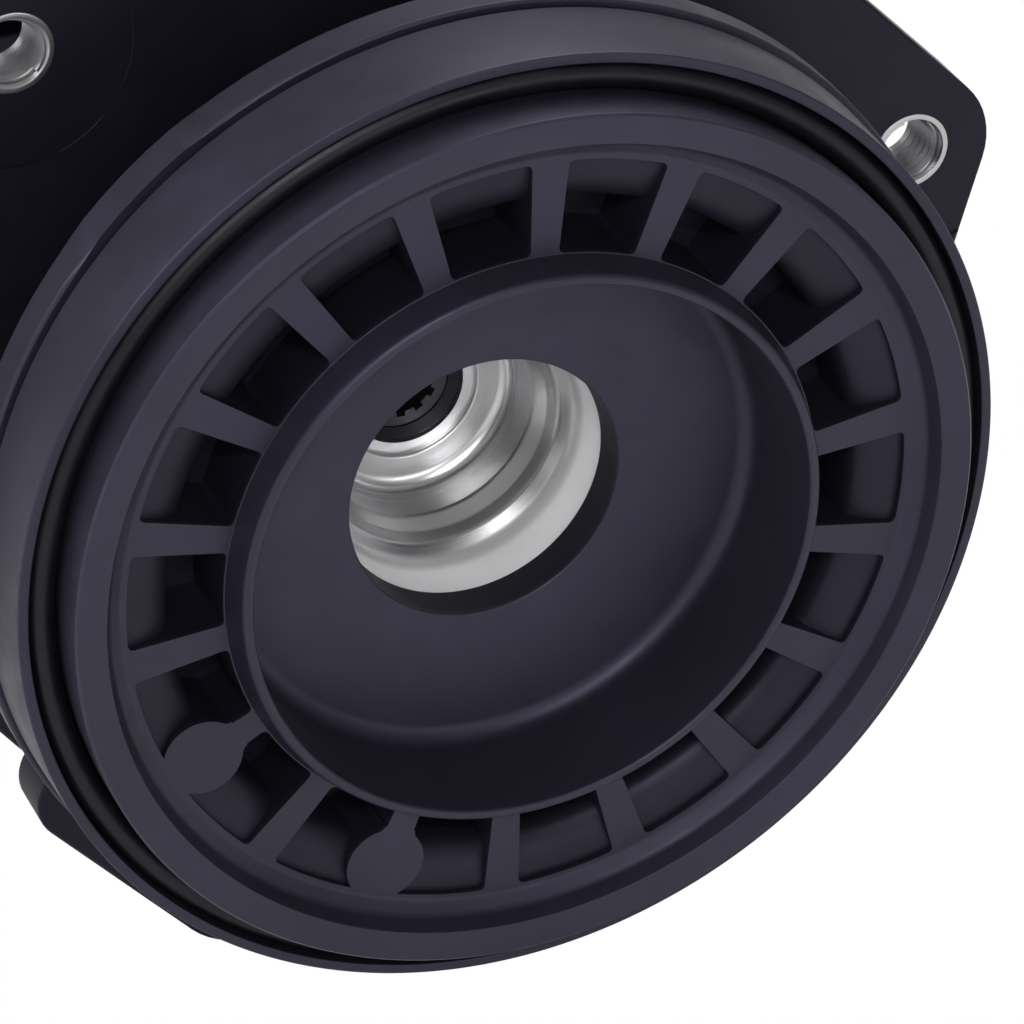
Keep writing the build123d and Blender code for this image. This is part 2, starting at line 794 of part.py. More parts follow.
def gear_face(phase):
    """Spur gear outline about the origin; phase is the angle of one tooth."""
    base = pitch_radius * cos(radians(pressure_angle))
    tip = pitch_radius + gear_module - 0.1
    root = pitch_radius - 1.25 * gear_module
    start = max(base, root + 0.05)
    half = (pi * gear_module / 2 - gear_backlash) / (2 * pitch_radius) + involute(radians(pressure_angle))
    radii = [start + (tip - start) * step / 5 for step in range(6)]
    swing = [(r, (half - involute(acos(min(1.0, base / r)))) * 180 / pi) for r in radii]
    edges = []
    for tooth in range(gear_teeth):
        angle = phase + 360 * tooth / gear_teeth
        following = angle + 360 / gear_teeth
        rising = [polar(r, angle - s) for r, s in swing]
        falling = [polar(r, angle + s) for r, s in reversed(swing)]
        foot = polar(root, angle + swing[0][1])
        next_foot = polar(root, following - swing[0][1])
        edges += [
            Spline(*rising), ThreePointArc(rising[-1], polar(tip, angle), falling[0]), Spline(*falling),
            Line(falling[-1], foot), ThreePointArc(foot, polar(root, (angle + following) / 2), next_foot),
            Line(next_foot, polar(start, following - swing[0][1])),
        ]
    return make_face(edges)


def timing_gear(centre, phase, bore):
    """Timing gear with lightening holes in its web."""
    gear = slab(Pos(*centre) * gear_face(phase), gear_front, gear_back)
    holes = [polar(gear_web_circle, 60 * index + 30, centre) for index in range(6)]
    gear -= drilled(holes, gear_web_hole, gear_front, gear_back)
    return gear - bar(bore + seat_gap, gear_front, gear_back, centre)


def drive_gear():
    """Timing gear on the drive shaft; its hub carries the coupling's rear pins."""
    hub = ring(gear_seat_radius + seat_gap, coupling_radius, gear_hub_front, gear_front)
    hub -= drilled(pin_points(other_pins()), coupling_pin_radius + seat_gap, gear_hub_front, gear_front)
    gear = timing_gear(drive_axis, 0, gear_seat_radius)
    blind = drilled(pin_points(other_pins()), coupling_pin_radius + seat_gap, gear_front, gear_front + 0.2)
    return gear + hub - blind


def driven_gear():
    """Timing gear on the driven shaft, half a pitch round so that it is in mesh."""
    return timing_gear(driven_axis, 180 / gear_teeth, gear_seat_radius)


# ---- Shafts, bearings and rotors ----

def rotor_shaft(centre, front):
    """Rotor shaft: gear seat, front journal, rotor seat and rear journal."""
    rotor_front = housing_front + rotor_end_gap
    rotor_back = housing_back - rotor_end_gap
    shaft = bar(gear_seat_radius, front, case_back, centre)
    shaft += bar(shaft_front_radius, gear_back, rotor_front, centre)
    shaft += bar(rotor_seat_radius, rotor_front, rotor_back, centre)
    return shaft + bar(shaft_rear_radius, rotor_back, rear_bearing_back - 0.4, centre)


def shaft_bearings():
    """The four rotor bearings, each as its outer race, inner race and balls, with its shaft's index."""
    found = []
    for index, centre in enumerate(shaft_axes):
        front = ball_bearing(shaft_front_radius, front_bearing_radius, front_bearing_width,
                             case_back + 1.5, 9, centre)
        rear = ball_bearing(shaft_rear_radius, rear_bearing_radius, rear_bearing_width,
                            rear_bearing_front, 8, centre)
        found += [(index, "front") + front, (index, "rear") + rear]
    return found


def profile_point(angle):
    """Point of the running profile: lobes outside the pitch circle and hollows inside, both cycloids."""
    span = 180 / rotor_lobes
    part = angle % (2 * span)
    rolling = lobe_height / 2
    start = radians(angle - part % span)
    t = radians(part % span)
    sign = 1 if part < span else -1
    arm = pitch_radius + sign * rolling
    turn = arm / rolling * t
    x = arm * cos(t) - sign * rolling * cos(turn)
    y = arm * sin(t) - rolling * sin(turn)
    return (x * cos(start) - y * sin(start), x * sin(start) + y * cos(start))


def rotor_face():
    """Three-lobed profile, set in from the running profile by the flank gap."""
    span = 180 / rotor_lobes
    offsets = [0.06, 0.14, 0.24, 0.37, 0.5, 0.63, 0.76, 0.86, 0.94]
    points = []
    for arc in range(2 * rotor_lobes):
        for share in offsets:
            angle = (arc + share - 0.5) * span
            before, here, after = (profile_point(angle + d) for d in (-0.05, 0, 0.05))
            along = (after[0] - before[0], after[1] - before[1])
            size = hypot(*along)
            points.append((here[0] - rotor_flank_gap * along[1] / size,
                           here[1] + rotor_flank_gap * along[0] / size))
    face = make_face(Spline(*points, periodic=True))
    return Rot(0, 0, rotor_phase - 90 / rotor_lobes) * face


def rotor(centre):
    """Straight three-lobed rotor with a hole through each lobe."""
    front = housing_front + rotor_end_gap
    back = housing_back - rotor_end_gap
    body = slab(Pos(*centre) * rotor_face(), front, back)
    angles = [rotor_phase + 360 / rotor_lobes * index for index in range(rotor_lobes)]
    holes = [polar(rotor_hole_circle, angle, centre) for angle in angles]
    body -= drilled(holes, rotor_bore_hole, front, back)
    return body - bar(rotor_seat_radius + seat_gap, front, back, centre)


def driven_nut():
    """Nut that holds the driven gear."""
    front = gear_front - nut_thickness
    hexagon = Pos(*driven_axis) * RegularPolygon(nut_across_flats / 2, 6, major_radius=False)
    nut = slab(hexagon, front, gear_front - seat_gap)
    return nut - bar(gear_seat_radius + seat_gap, front, gear_front, driven_axis)


def bearing_plate():
    """Plate that carries the front rotor bearings and their seals."""
    plate = slab(flange_outline(), case_back, bearing_plate_back)
    seat_back = case_back + 1.5 + front_bearing_width + join_gap
    for centre in shaft_axes:
        plate -= bar(front_bearing_radius + seat_gap, case_back, seat_back, centre)
        plate -= bar(shaft_seal_radius + seat_gap, seat_back, bearing_plate_back, centre)
    plate -= drilled(case_screw_points(), screw_radius + screw_hole_gap, case_back, bearing_plate_back)
    plate -= dowel_holes(case_back, case_back + dowel_length / 2)
    return plate - dowel_holes(bearing_plate_back - dowel_length / 2, bearing_plate_back)


def shaft_seals():
    """Lip seals between the bearing plate and the rotors."""
    front = case_back + 1.5 + front_bearing_width + 2 * join_gap
    back = bearing_plate_back - 0.3
    return group([ring(shaft_front_radius + run_gap, shaft_seal_radius, front, back, c) for c in shaft_axes])


# ---- Rotor housing ----

def port_outline(width, length):
    """Rounded rectangle of the X-Y plane over the middle of the rotors."""
    return Pos(middle_x, port_middle) * RectangleRounded(width, length, port_corner)


def upright(sketch, low, high):
    """A sketch of the X-Y plane carried from one height to another."""
    return extrude(Pos(0, 0, low) * sketch, amount=high - low)


def port_screw_points(length):
    """Corner screws of a port flange of that length."""
    x = port_flange_width / 2 - port_screw_inset
    y = length / 2 - port_screw_inset
    return [(middle_x + sx * x, port_middle + sy * y) for sx in (-1, 1) for sy in (-1, 1)]


def cooling_ribs():
    """Thin ribs round the housing between its end flanges."""
    first = housing_front + housing_flange
    pitch = (rotor_length - 2 * housing_flange) / (cooling_rib_count + 1)
    places = [first + pitch * (index + 1) for index in range(cooling_rib_count)]
    outline = stadium(case_radius + cooling_rib_height)
    half = cooling_rib_thickness / 2
    return union([slab(outline, place - half, place + half) for place in places])


def rotor_housing():
    """Two-bore housing with an inlet flange on top, an outlet flange below and cooling ribs."""
    top = port_flange_height
    housing = slab(stadium(case_radius), housing_front, housing_back)
    housing += slab(flange_outline(), housing_front, housing_front + housing_flange)
    housing += slab(flange_outline(), housing_back - housing_flange, housing_back)
    housing += cooling_ribs()
    stub = 2 * port_stub_wall
    low = top - port_flange_thickness
    housing += upright(port_outline(port_width + stub, port_length + stub), 0, top)
    housing += upright(port_outline(port_flange_width, port_flange_length), low, top)
    housing += upright(port_outline(port_width + stub, outlet_length + stub), -top, 0)
    housing += upright(port_outline(port_flange_width, outlet_flange_length), -top, -low)
    for centre in shaft_axes:
        housing -= bar(rotor_bore, housing_front, housing_back, centre)
    housing -= upright(port_outline(port_width, port_length), 0, top)
    housing -= upright(port_outline(port_width, outlet_length), -top, 0)
    for x, y in port_screw_points(port_flange_length):
        housing -= post(screw_core_radius, top - port_screw_depth, top, x, y)
    for x, y in port_screw_points(outlet_flange_length):
        housing -= post(screw_core_radius, -top, port_screw_depth - top, x, y)
    points = case_screw_points()
    housing -= drilled(points, screw_radius, housing_front, housing_front + screw_thread_length)
    housing -= drilled(points, screw_radius, housing_back - screw_thread_length, housing_back)
    housing -= dowel_holes(housing_front, housing_front + dowel_length / 2)
    return housing - dowel_holes(housing_back - dowel_length / 2, housing_back)


def rear_gasket():
    """Gasket line between the housing and the rear cover, as a thin ring of the flange's shape."""
    return stadium_ring(housing_back, housing_back + gasket_thickness)


def stadium_ring(front, back):
    """Thin flat ring of the flange outline with its screw holes."""
    sheet = slab(flange_outline(), front, back) - slab(stadium(rotor_bore + 1.5), front, back)
    sheet -= drilled(case_screw_points(), screw_radius + screw_hole_gap, front, back)
    return sheet - dowel_holes(front, back)


def rear_cover():
    """End cover with a bearing boss and a cap seat on each shaft line."""
    front = housing_back + gasket_thickness
    cover = slab(flange_outline(), front, rear_cover_back)
    for centre in shaft_axes:
        cover += bar(rear_boss_radius, rear_cover_back, rear_boss_back, centre)
    bridge = Pos(middle_x, 0) * Rectangle(shaft_spacing, rear_strap_width)
    strap_length = 2 * (screw_circle + screw_head_radius)
    strap = Pos(middle_x, 0) * SlotOverall(strap_length, rear_strap_width, rotation=90)
    cover += slab(bridge, rear_cover_back, rear_cover_back + rear_boss_height / 2)
    cover += slab(strap, rear_cover_back, rear_cover_back + rear_strap_height)
    for centre in shaft_axes:
        cover -= bar(shaft_rear_radius + 1.5, front, rear_bearing_front, centre)
        cover -= bar(rear_bearing_radius + seat_gap, rear_bearing_front - join_gap, rear_boss_back, centre)
    back = rear_cover_back + rear_strap_height
    cover -= drilled(case_screw_points(), screw_radius + screw_hole_gap, front, back)
    return cover - dowel_holes(front, front + dowel_length / 2)


def rear_cap(centre):
    """Pressed cap that closes one rear bearing seat."""
    front = rear_bearing_back + join_gap
    edge = rear_bearing_radius
    sheet = rear_cap_sheet
    return turned([(0, front + sheet), (edge - 3, front + sheet), (edge - 2, front), (edge, front),
                   (edge, rear_boss_back), (edge - sheet, rear_boss_back),
                   (edge - sheet - 0.6, front + 2 * sheet), (0, front + 2 * sheet)], centre)


def rear_caps():
    """The two rear caps."""
    return group([rear_cap(centre) for centre in shaft_axes])


def case_screws():
    """Long screws through the gear case and the bearing plate into the housing."""
    length = chamber_flange + bearing_plate_thickness + screw_thread_length - 2
    screw = cap_screw(screw_radius - seat_gap, length, screw_head_radius, screw_head_height)
    seat = case_back - chamber_flange
    return group([Pos(x, seat, z) * Rot(90, 0, 0) * screw for x, z in case_screw_points()])


def rear_screw(stand):
    """Screw of the rear cover; stand is how far its seat is raised."""
    length = rear_cover_thickness + screw_thread_length - 2 + stand
    screw = cap_screw(screw_radius - seat_gap, length, screw_head_radius, screw_head_height)
    return Pos(0, rear_cover_back + stand, 0) * Rot(-90, 0, 0) * screw


def rear_screws():
    """Screws through the rear cover into the housing; the middle two sit on the cover's strap."""
    plain = rear_screw(0)
    raised = rear_screw(rear_strap_height)
    places = case_screw_points()
    return group([Pos(x, 0, z) * (raised if x == middle_x else plain) for x, z in places])


def dowel_points():
    """Two locating dowels across the case."""
    return [polar(screw_circle, dowel_angle), polar(screw_circle, 180 + dowel_angle, driven_axis)]


def dowel_holes(front, back):
    """Cutter for the dowels over part of their length."""
    return drilled(dowel_points(), dowel_radius + seat_gap, front, back)


def case_dowels():
    """Dowels at the three joints of the case."""
    joints = (case_back, bearing_plate_back, housing_back)
    half = dowel_length / 2 - join_gap
    return group([drilled(dowel_points(), dowel_radius, joint - half, joint + half) for joint in joints])


# ---- Oil plugs ----

def plug_y():
    """Place of the oil plugs along the gear chamber."""
    return case_back - plug_position


def plug_pair(radius, low, high):
    """Upright round bars over the filler's place and, upside down, under the drain's place."""
    above = post(radius, low, high, fill_x, plug_y())
    return above + post(radius, -high, -low, drain_x, plug_y())


def plug_bosses():
    """Round bosses above and below the gear chamber."""
    return plug_pair(plug_boss_radius, chamber_bore + chamber_wall / 2, chamber_radius + plug_boss_height)


def plug_holes():
    """Tapped holes for the filler and drain plugs."""
    return plug_pair(plug_radius, chamber_bore - chamber_wall, chamber_radius + plug_boss_height)


def plug_washers():
    """Sealing washers under both plugs."""
    low = chamber_radius + plug_boss_height
    high = low + plug_washer
    return plug_pair(plug_head_radius, low, high) - plug_pair(plug_radius + join_gap, low, high)


def oil_plug():
    """Hexagon-socket plug along -Z, its head standing on z = 0."""
    reach = chamber_wall + plug_boss_height
    return cap_screw(plug_radius - seat_gap, reach, plug_head_radius, plug_head_height)


def oil_fill_plug():
    """Filler plug on top of the gear chamber."""
    top = chamber_radius + plug_boss_height + plug_washer
    return Pos(fill_x, plug_y(), top) * oil_plug()


def oil_drain_plug():
    """Drain plug under the gear chamber."""
    top = chamber_radius + plug_boss_height + plug_washer
    return Pos(drain_x, plug_y(), -top) * Rot(180, 0, 0) * oil_plug()


# ---- Inlet duct ----

def inlet_gasket():
    """Gasket under the inlet duct."""
    low = port_flange_height
    sheet = upright(port_outline(port_flange_width, port_flange_length), low, duct_base)
    sheet -= upright(port_outline(port_width, port_length), low, duct_base)
    for x, y in port_screw_points(port_flange_length):
        sheet -= post(screw_radius + screw_hole_gap, low, duct_base, x, y)
    return sheet


def along_x(radius, low, high, y, z):
    """Round bar along X."""
    return Pos((low + high) / 2, y, z) * Rot(0, 90, 0) * Cylinder(radius, high - low)


def duct_shell(inset):
    """Rounded box of the duct, smaller by the inset on every side but its base."""
    low = duct_base if inset == 0 else duct_base - 1
    box = block((middle_x - duct_width / 2 + inset, port_middle - duct_length / 2 + inset, low),
                (middle_x + duct_width / 2 - inset, port_middle + duct_length / 2 - inset, duct_top - inset))
    corner = duct_corner - inset
    box = fillet(box.edges().filter_by(Axis.Z), corner)
    return fillet(box.edges().group_by(Axis.Z)[-1], corner * 0.8)


def duct_ribs():
    """Shallow ribs over the duct's top and sides."""
    pitch = duct_length / (duct_rib_count + 1)
    first = port_middle - duct_length / 2
    half_width = duct_width / 2 + duct_rib_height
    shell = block((middle_x - half_width, first, duct_base),
                  (middle_x + half_width, first + duct_length, duct_top + duct_rib_height))
    shell = fillet(shell.edges().filter_by(Axis.Y).group_by(Axis.Z)[-1], duct_corner)
    half = duct_rib_thickness / 2
    slices = [block((-500, first + pitch * (i + 1) - half, 0), (500, first + pitch * (i + 1) + half, 500))
              for i in range(duct_rib_count)]
    return union([shell & piece for piece in slices])


def hose_tube(bore, wall, length):
    """Hose spigot along +Z from z = 0, with a chamfered end."""
    outer = bore + wall
    outline = [(bore, 0), (outer, 0), (outer, length - spigot_end_chamfer),
               (outer - spigot_end_chamfer, length), (bore, length)]
    face = make_face(Polyline(*outline, close=True))
    return Rot(90, 0, 0) * revolve(face, Axis.Y)


def bypass_hose_stop():
    """End of the thicker part of the bypass neck, just past the butterfly shaft's bosses."""
    return bypass_shaft_x - shaft_boss_radius() - join_gap


def shaft_boss_radius():
    """Bosses of the bypass neck that carry the butterfly shaft's bushes."""
    return bush_wall + bypass_shaft_radius + bush_boss_wall


def inlet_duct():
    """Cast duct from the inlet flange to a rear hose spigot, with the bypass neck on its left side."""
    rear = port_middle + duct_length / 2
    duct = duct_shell(0) + duct_ribs()
    flange = port_outline(port_flange_width, port_flange_length)
    duct += upright(flange, duct_base, duct_base + duct_flange_thickness)
    duct += bar(duct_collar_radius, rear - duct_wall, rear + duct_collar_length, (middle_x, duct_axis))
    duct += Pos(middle_x, rear, duct_axis) * Rot(-90, 0, 0) * hose_tube(
        duct_spigot_bore, duct_spigot_wall, duct_spigot_length)
    stop = bypass_hose_stop()
    duct += along_x(bypass_outer, stop, duct_side + duct_corner, bypass_y, duct_axis)
    duct += Pos(duct_side + duct_wall, bypass_y, duct_axis) * Rot(0, -90, 0) * hose_tube(
        bypass_bore, bypass_wall - bypass_stop, bypass_length + duct_wall)
    reach = bypass_outer + bush_stand - 1
    duct += bar(shaft_boss_radius(), bypass_y - reach, bypass_y + reach, (bypass_shaft_x, duct_axis))
    duct += bracket_bosses()
    duct -= duct_shell(duct_wall)
    duct -= bar(duct_spigot_bore, rear - 2 * duct_wall, rear + duct_spigot_length, (middle_x, duct_axis))
    duct -= along_x(bypass_bore, duct_side - bypass_length, duct_side + 2 * duct_wall, bypass_y, duct_axis)
    bush_hole = bypass_shaft_radius + bush_wall + seat_gap
    duct -= bar(bush_hole, bypass_y - 2 * bypass_outer, bypass_y + 2 * bypass_outer,
                (bypass_shaft_x, duct_axis))
    for x, y in port_screw_points(port_flange_length):
        duct -= post(screw_radius + screw_hole_gap, duct_base, duct_base + duct_flange_thickness, x, y)
        duct -= post(screw_head_radius + 0.5, duct_base + duct_flange_thickness, duct_top, x, y)
    return duct - bracket_holes()


def inlet_screws():
    """Screws that hold the inlet duct."""
    low = duct_base + duct_flange_thickness
    length = duct_flange_thickness + gasket_thickness + port_flange_thickness
    screw = cap_screw(screw_core_radius - seat_gap, length, screw_head_radius, screw_head_height)
    return group([Pos(x, y, low) * screw for x, y in port_screw_points(port_flange_length)])


# ---- Bypass valve ----

def bypass_bushes():
    """Bearing bushes of the butterfly shaft."""
    outer = bypass_shaft_radius + bush_wall
    inner = bypass_shaft_radius + run_gap
    near = bypass_bore + 0.8
    far = bypass_outer + bush_stand
    centre = (bypass_shaft_x, duct_axis)
    return group([ring(inner, outer, bypass_y + near, bypass_y + far, centre),
                  ring(inner, outer, bypass_y - far, bypass_y - near, centre)])


def bypass_shaft():
    """Butterfly shaft with a flat for the disc."""
    centre = (bypass_shaft_x, duct_axis)
    front = bypass_y - bypass_outer - bush_stand - 1.0
    shaft = bar(bypass_shaft_radius, front, lever_front + lever_thickness + 2.0, centre)
    reach = bypass_bore - disc_gap
    flat = block((bypass_shaft_x - disc_thickness / 2 - seat_gap, bypass_y - reach - 0.5, duct_axis - 5),
                 (bypass_shaft_x + 10, bypass_y + reach + 0.5, duct_axis + 5))
    shaft -= flat
    return shaft - disc_screw_holes()


def disc_screw_places():
    """Heights of the disc's two screws along the shaft."""
    return [bypass_y - disc_screw_spacing / 2, bypass_y + disc_screw_spacing / 2]


def disc_screw_holes():
    """Cutter for the disc's screws."""
    low = bypass_shaft_x - bypass_shaft_radius - 1
    high = bypass_shaft_x + bypass_shaft_radius
    hole = disc_screw_radius + seat_gap
    return union([along_x(hole, low, high, y, duct_axis) for y in disc_screw_places()])


def bypass_disc():
    """Round throttle plate that closes the bypass neck."""
    half = disc_thickness / 2
    disc = along_x(bypass_bore - disc_gap, bypass_shaft_x - half, bypass_shaft_x + half, bypass_y, duct_axis)
    return disc - disc_screw_holes()


def bypass_disc_screws():
    """Small screws that clamp the disc on the shaft's flat."""
    solids = []
    for y in disc_screw_places():
        face = bypass_shaft_x + disc_thickness / 2 + seat_gap
        shank = along_x(disc_screw_radius, bypass_shaft_x - bypass_shaft_radius + 0.4, face, y, duct_axis)
        head = along_x(2 * disc_screw_radius, face, face + 1.2, y, duct_axis)
        solids.append(shank + head)
    return group(solids)


def lever_turn():
    """Angle of the lever at rest, from +X towards +Z."""
    return 180 - lever_swing / 2


def bypass_lever():
    """Slotted lever on the end of the butterfly shaft."""
    furthest = lever_arm / cos(radians(lever_swing / 2))
    width = rod_pin_radius + slot_clearance
    tip = furthest + width + 2.5
    arm = Pos(tip / 2, 0) * SlotOverall(tip + lever_width / 2, lever_width)
    middle = (lever_arm + furthest) / 2
    slot = Pos(middle, 0) * SlotOverall(furthest - lever_arm + 2 * width + 0.8, 2 * width)
    outline = arm + Circle(lever_hub_radius) - slot - Circle(bypass_shaft_radius + seat_gap)
    placed = Pos(bypass_shaft_x, duct_axis) * Rot(0, 0, lever_turn()) * outline
    return slab(placed, lever_front, lever_front + lever_thickness)


# ---- Vacuum actuator ----

def actuator_rod():
    """Rod with its diaphragm plate below and its cross pin above."""
    pin_z = duct_axis + pin_height
    plate_top = can_top - can_wall - 1.2
    rod = post(rod_radius, plate_top - plate_disc_thickness, pin_z + 4, rod_x, rod_y)
    rod += post(plate_disc_radius, plate_top - plate_disc_thickness, plate_top, rod_x, rod_y)
    pin = bar(rod_pin_radius, lever_front - 0.8, rod_y, (rod_x, pin_z))
    return rod + pin


def can_half(low, high, closed_low):
    """Half of the actuator's can, open towards its seam."""
    shell = post(can_radius, low, high, rod_x, rod_y)
    floor = low + can_wall if closed_low else low
    ceiling = high if closed_low else high - can_wall
    seam_low = high - can_seam_height / 2 if closed_low else low
    seam_high = high if closed_low else low + can_seam_height / 2
    shell += post(can_radius + can_seam_width, seam_low, seam_high, rod_x, rod_y)
    return shell - post(can_radius - can_wall, floor, ceiling, rod_x, rod_y)


def can_seam():
    """Height of the can's seam."""
    return (can_base + can_top) / 2


def actuator_base():
    """Lower half of the can."""
    base = can_half(can_base, can_seam(), True)
    nipple_z = can_base + can_height / 4
    return base - along_x(1.2, rod_x - can_radius - 1, rod_x - can_radius + 2 * can_wall, rod_y, nipple_z)


def actuator_top():
    """Upper half of the can, with the rod's guide hole."""
    top = can_half(can_seam() + join_gap / 2, can_top, False)
    return top - post(rod_radius + 0.35, can_top - 2 * can_wall, can_top, rod_x, rod_y)


def actuator_spring():
    """Coil spring under the diaphragm plate."""
    low = can_base + can_wall + spring_wire + seat_gap
    high = can_top - can_wall - 1.2 - plate_disc_thickness - spring_wire - seat_gap
    path = Helix(pitch=(high - low) / spring_turns, height=high - low, radius=spring_radius)
    section = Plane(origin=path @ 0, z_dir=path % 0) * Circle(spring_wire)
    return Pos(rod_x, rod_y, low) * sweep(section, path=path)


def vacuum_nipple():
    """Hose nipple on the side of the can."""
    z = can_base + can_height / 4
    face = rod_x - can_radius - seat_gap
    nipple = along_x(nipple_radius, face - nipple_length, face, rod_y, z)
    nipple += along_x(nipple_radius + 1.5, face - 1.5, face, rod_y, z)
    return nipple - along_x(1.2, face - nipple_length, face, rod_y, z)


def bracket_points():
    """Places (y, z) of the bracket's screws on the duct's side."""
    z = can_top + bracket_thickness + bracket_tab_height * 0.6
    return [(rod_y - bracket_screw_spacing / 2, z), (rod_y + bracket_screw_spacing / 2, z)]


def bracket_face():
    """Plane of the bracket's tab on the duct's side."""
    return duct_side - duct_rib_height - 1.0


def bracket_bosses():
    """Bosses on the duct for the bracket's screws."""
    return union([along_x(5.5, bracket_face(), duct_side + duct_wall, y, z) for y, z in bracket_points()])


def bracket_holes():
    """Tapped holes for the bracket's screws."""
    depth = bracket_face() + 5.5
    return union([along_x(bracket_screw_radius, bracket_face(), depth, y, z) for y, z in bracket_points()])


def actuator_bracket():
    """Bent sheet that carries the actuator from the duct's side."""
    face = bracket_face()
    half = bracket_width / 2
    plate = block((rod_x, rod_y - half, can_top), (face, rod_y + half, can_top + bracket_thickness))
    plate += post(half, can_top, can_top + bracket_thickness, rod_x, rod_y)
    tab = block((face - bracket_thickness, rod_y - half, can_top),
                (face, rod_y + half, can_top + bracket_thickness + bracket_tab_height))
    plate += tab
    plate -= post(rod_radius + 1.5, can_top, can_top + bracket_thickness, rod_x, rod_y)
    for y, z in bracket_points():
        plate -= along_x(bracket_screw_radius + screw_hole_gap, face - bracket_thickness, face, y, z)
    return plate


def bracket_screws():
    """Screws of the actuator bracket."""
    face = bracket_face() - bracket_thickness
    screw = hex_screw(bracket_screw_radius - seat_gap, bracket_thickness + 5.0, 4.2, 4.0)
    return group([Pos(face, y, z) * Rot(0, -90, 0) * screw for y, z in bracket_points()])


def main():
    """Builds every piece and writes one STEP file for each node."""
    os.makedirs("parts", exist_ok=True)
    input_outer, input_inner, input_balls = input_bearing()
    bearings = shaft_bearings()
    nodes = {
        "front_cover": front_cover(),
        "face_seal": face_seal(),
        "cover_gasket": cover_gasket(),
        "cover_screws": cover_screws(),
        "gear_case": gear_case(),
        "bearing_carrier": bearing_carrier(),
        "lug_inserts": lug_inserts(),
        "bearing_cup": bearing_cup(),
        "input_seal_case": input_seal_case(),
        "input_seal_lip": input_seal_lip(),
        "input_bearing_outer": input_outer,
        "input_circlip": input_circlip(),
        "bearing_plate": bearing_plate(),
        "shaft_seals": shaft_seals(),
        "rotor_housing": rotor_housing(),
        "rear_gasket": rear_gasket(),
        "rear_cover": rear_cover(),
        "rear_caps": rear_caps(),
        "case_screws": case_screws(),
        "rear_screws": rear_screws(),
        "case_dowels": case_dowels(),
        "oil_fill_plug": oil_fill_plug(),
        "oil_drain_plug": oil_drain_plug(),
        "plug_washers": plug_washers(),
        "bearing_outer_races": group([b[2] for b in bearings]),
        "inlet_gasket": inlet_gasket(),
        "inlet_duct": inlet_duct(),
        "inlet_screws": inlet_screws(),
        "bypass_bushes": bypass_bushes(),
        "actuator_bracket": actuator_bracket(),
        "bracket_screws": bracket_screws(),
        "actuator_base": actuator_base(),
        "actuator_top": actuator_top(),
        "vacuum_nipple": vacuum_nipple(),
        "actuator_spring": actuator_spring(),
        "input_shaft": input_shaft(),
        "input_bearing_inner": input_inner,
        "input_bearing_balls": group(input_balls),
        "coupling_pins": coupling_pins(),
        "coupling_disc": coupling_disc(),
        "drive_gear": drive_gear(),
        "drive_shaft": rotor_shaft(drive_axis, gear_hub_front),
        "drive_rotor": rotor(drive_axis),
        "drive_inner_races": group([b[3] for b in bearings if b[0] == 0]),
        "drive_balls": group([ball for b in bearings if b[0] == 0 for ball in b[4]]),
        "driven_gear": driven_gear(),
        "driven_nut": driven_nut(),
        "driven_shaft": rotor_shaft(driven_axis, gear_front - nut_thickness - 2),
        "driven_rotor": rotor(driven_axis),
        "driven_inner_races": group([b[3] for b in bearings if b[0] == 1]),
        "driven_balls": group([ball for b in bearings if b[0] == 1 for ball in b[4]]),
        "bypass_shaft": bypass_shaft(),
        "bypass_disc": bypass_disc(),
        "bypass_disc_screws": bypass_disc_screws(),
        "bypass_lever": bypass_lever(),
        "actuator_rod": actuator_rod(),
    }
    for name, shape in nodes.items():
        export_step(shape, f"parts/{name}.step")


main()
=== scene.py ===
"""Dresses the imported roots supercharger: castings, turned steel, threads, seals, a spring and the studio."""
import json
import logging
import math
from collections.abc import Sequence
from dataclasses import dataclass, field
from enum import Enum

import bmesh
import bpy
from mathutils import Matrix, Vector


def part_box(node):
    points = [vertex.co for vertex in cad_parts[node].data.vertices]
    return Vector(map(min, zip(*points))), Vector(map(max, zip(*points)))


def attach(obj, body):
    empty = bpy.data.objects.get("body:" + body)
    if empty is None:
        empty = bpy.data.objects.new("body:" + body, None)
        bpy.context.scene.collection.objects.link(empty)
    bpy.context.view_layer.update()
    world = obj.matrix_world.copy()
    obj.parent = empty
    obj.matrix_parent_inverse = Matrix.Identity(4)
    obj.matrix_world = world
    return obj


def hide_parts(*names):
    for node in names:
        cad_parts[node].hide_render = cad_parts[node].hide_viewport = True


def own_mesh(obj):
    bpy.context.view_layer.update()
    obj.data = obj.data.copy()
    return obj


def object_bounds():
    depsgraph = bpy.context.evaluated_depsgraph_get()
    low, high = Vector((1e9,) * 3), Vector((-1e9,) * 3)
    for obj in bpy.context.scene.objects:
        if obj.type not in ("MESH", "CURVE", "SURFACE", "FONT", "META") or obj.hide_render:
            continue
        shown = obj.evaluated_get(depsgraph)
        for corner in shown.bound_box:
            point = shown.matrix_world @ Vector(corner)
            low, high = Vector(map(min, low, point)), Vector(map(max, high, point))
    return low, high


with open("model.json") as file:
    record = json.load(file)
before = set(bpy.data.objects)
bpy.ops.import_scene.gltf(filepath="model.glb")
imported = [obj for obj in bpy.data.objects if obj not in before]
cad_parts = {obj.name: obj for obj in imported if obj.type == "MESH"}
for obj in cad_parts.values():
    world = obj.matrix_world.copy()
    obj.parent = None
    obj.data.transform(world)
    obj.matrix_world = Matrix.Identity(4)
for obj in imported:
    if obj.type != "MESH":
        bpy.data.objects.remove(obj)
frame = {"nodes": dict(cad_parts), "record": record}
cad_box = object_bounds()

LOG = logging.getLogger("supercharger")
MM = 0.001
CASE = "case"
Point = tuple[float, float]
Corner = tuple[float, float, float]
Colour = tuple[float, float, float]
Socket = bpy.types.NodeSocket


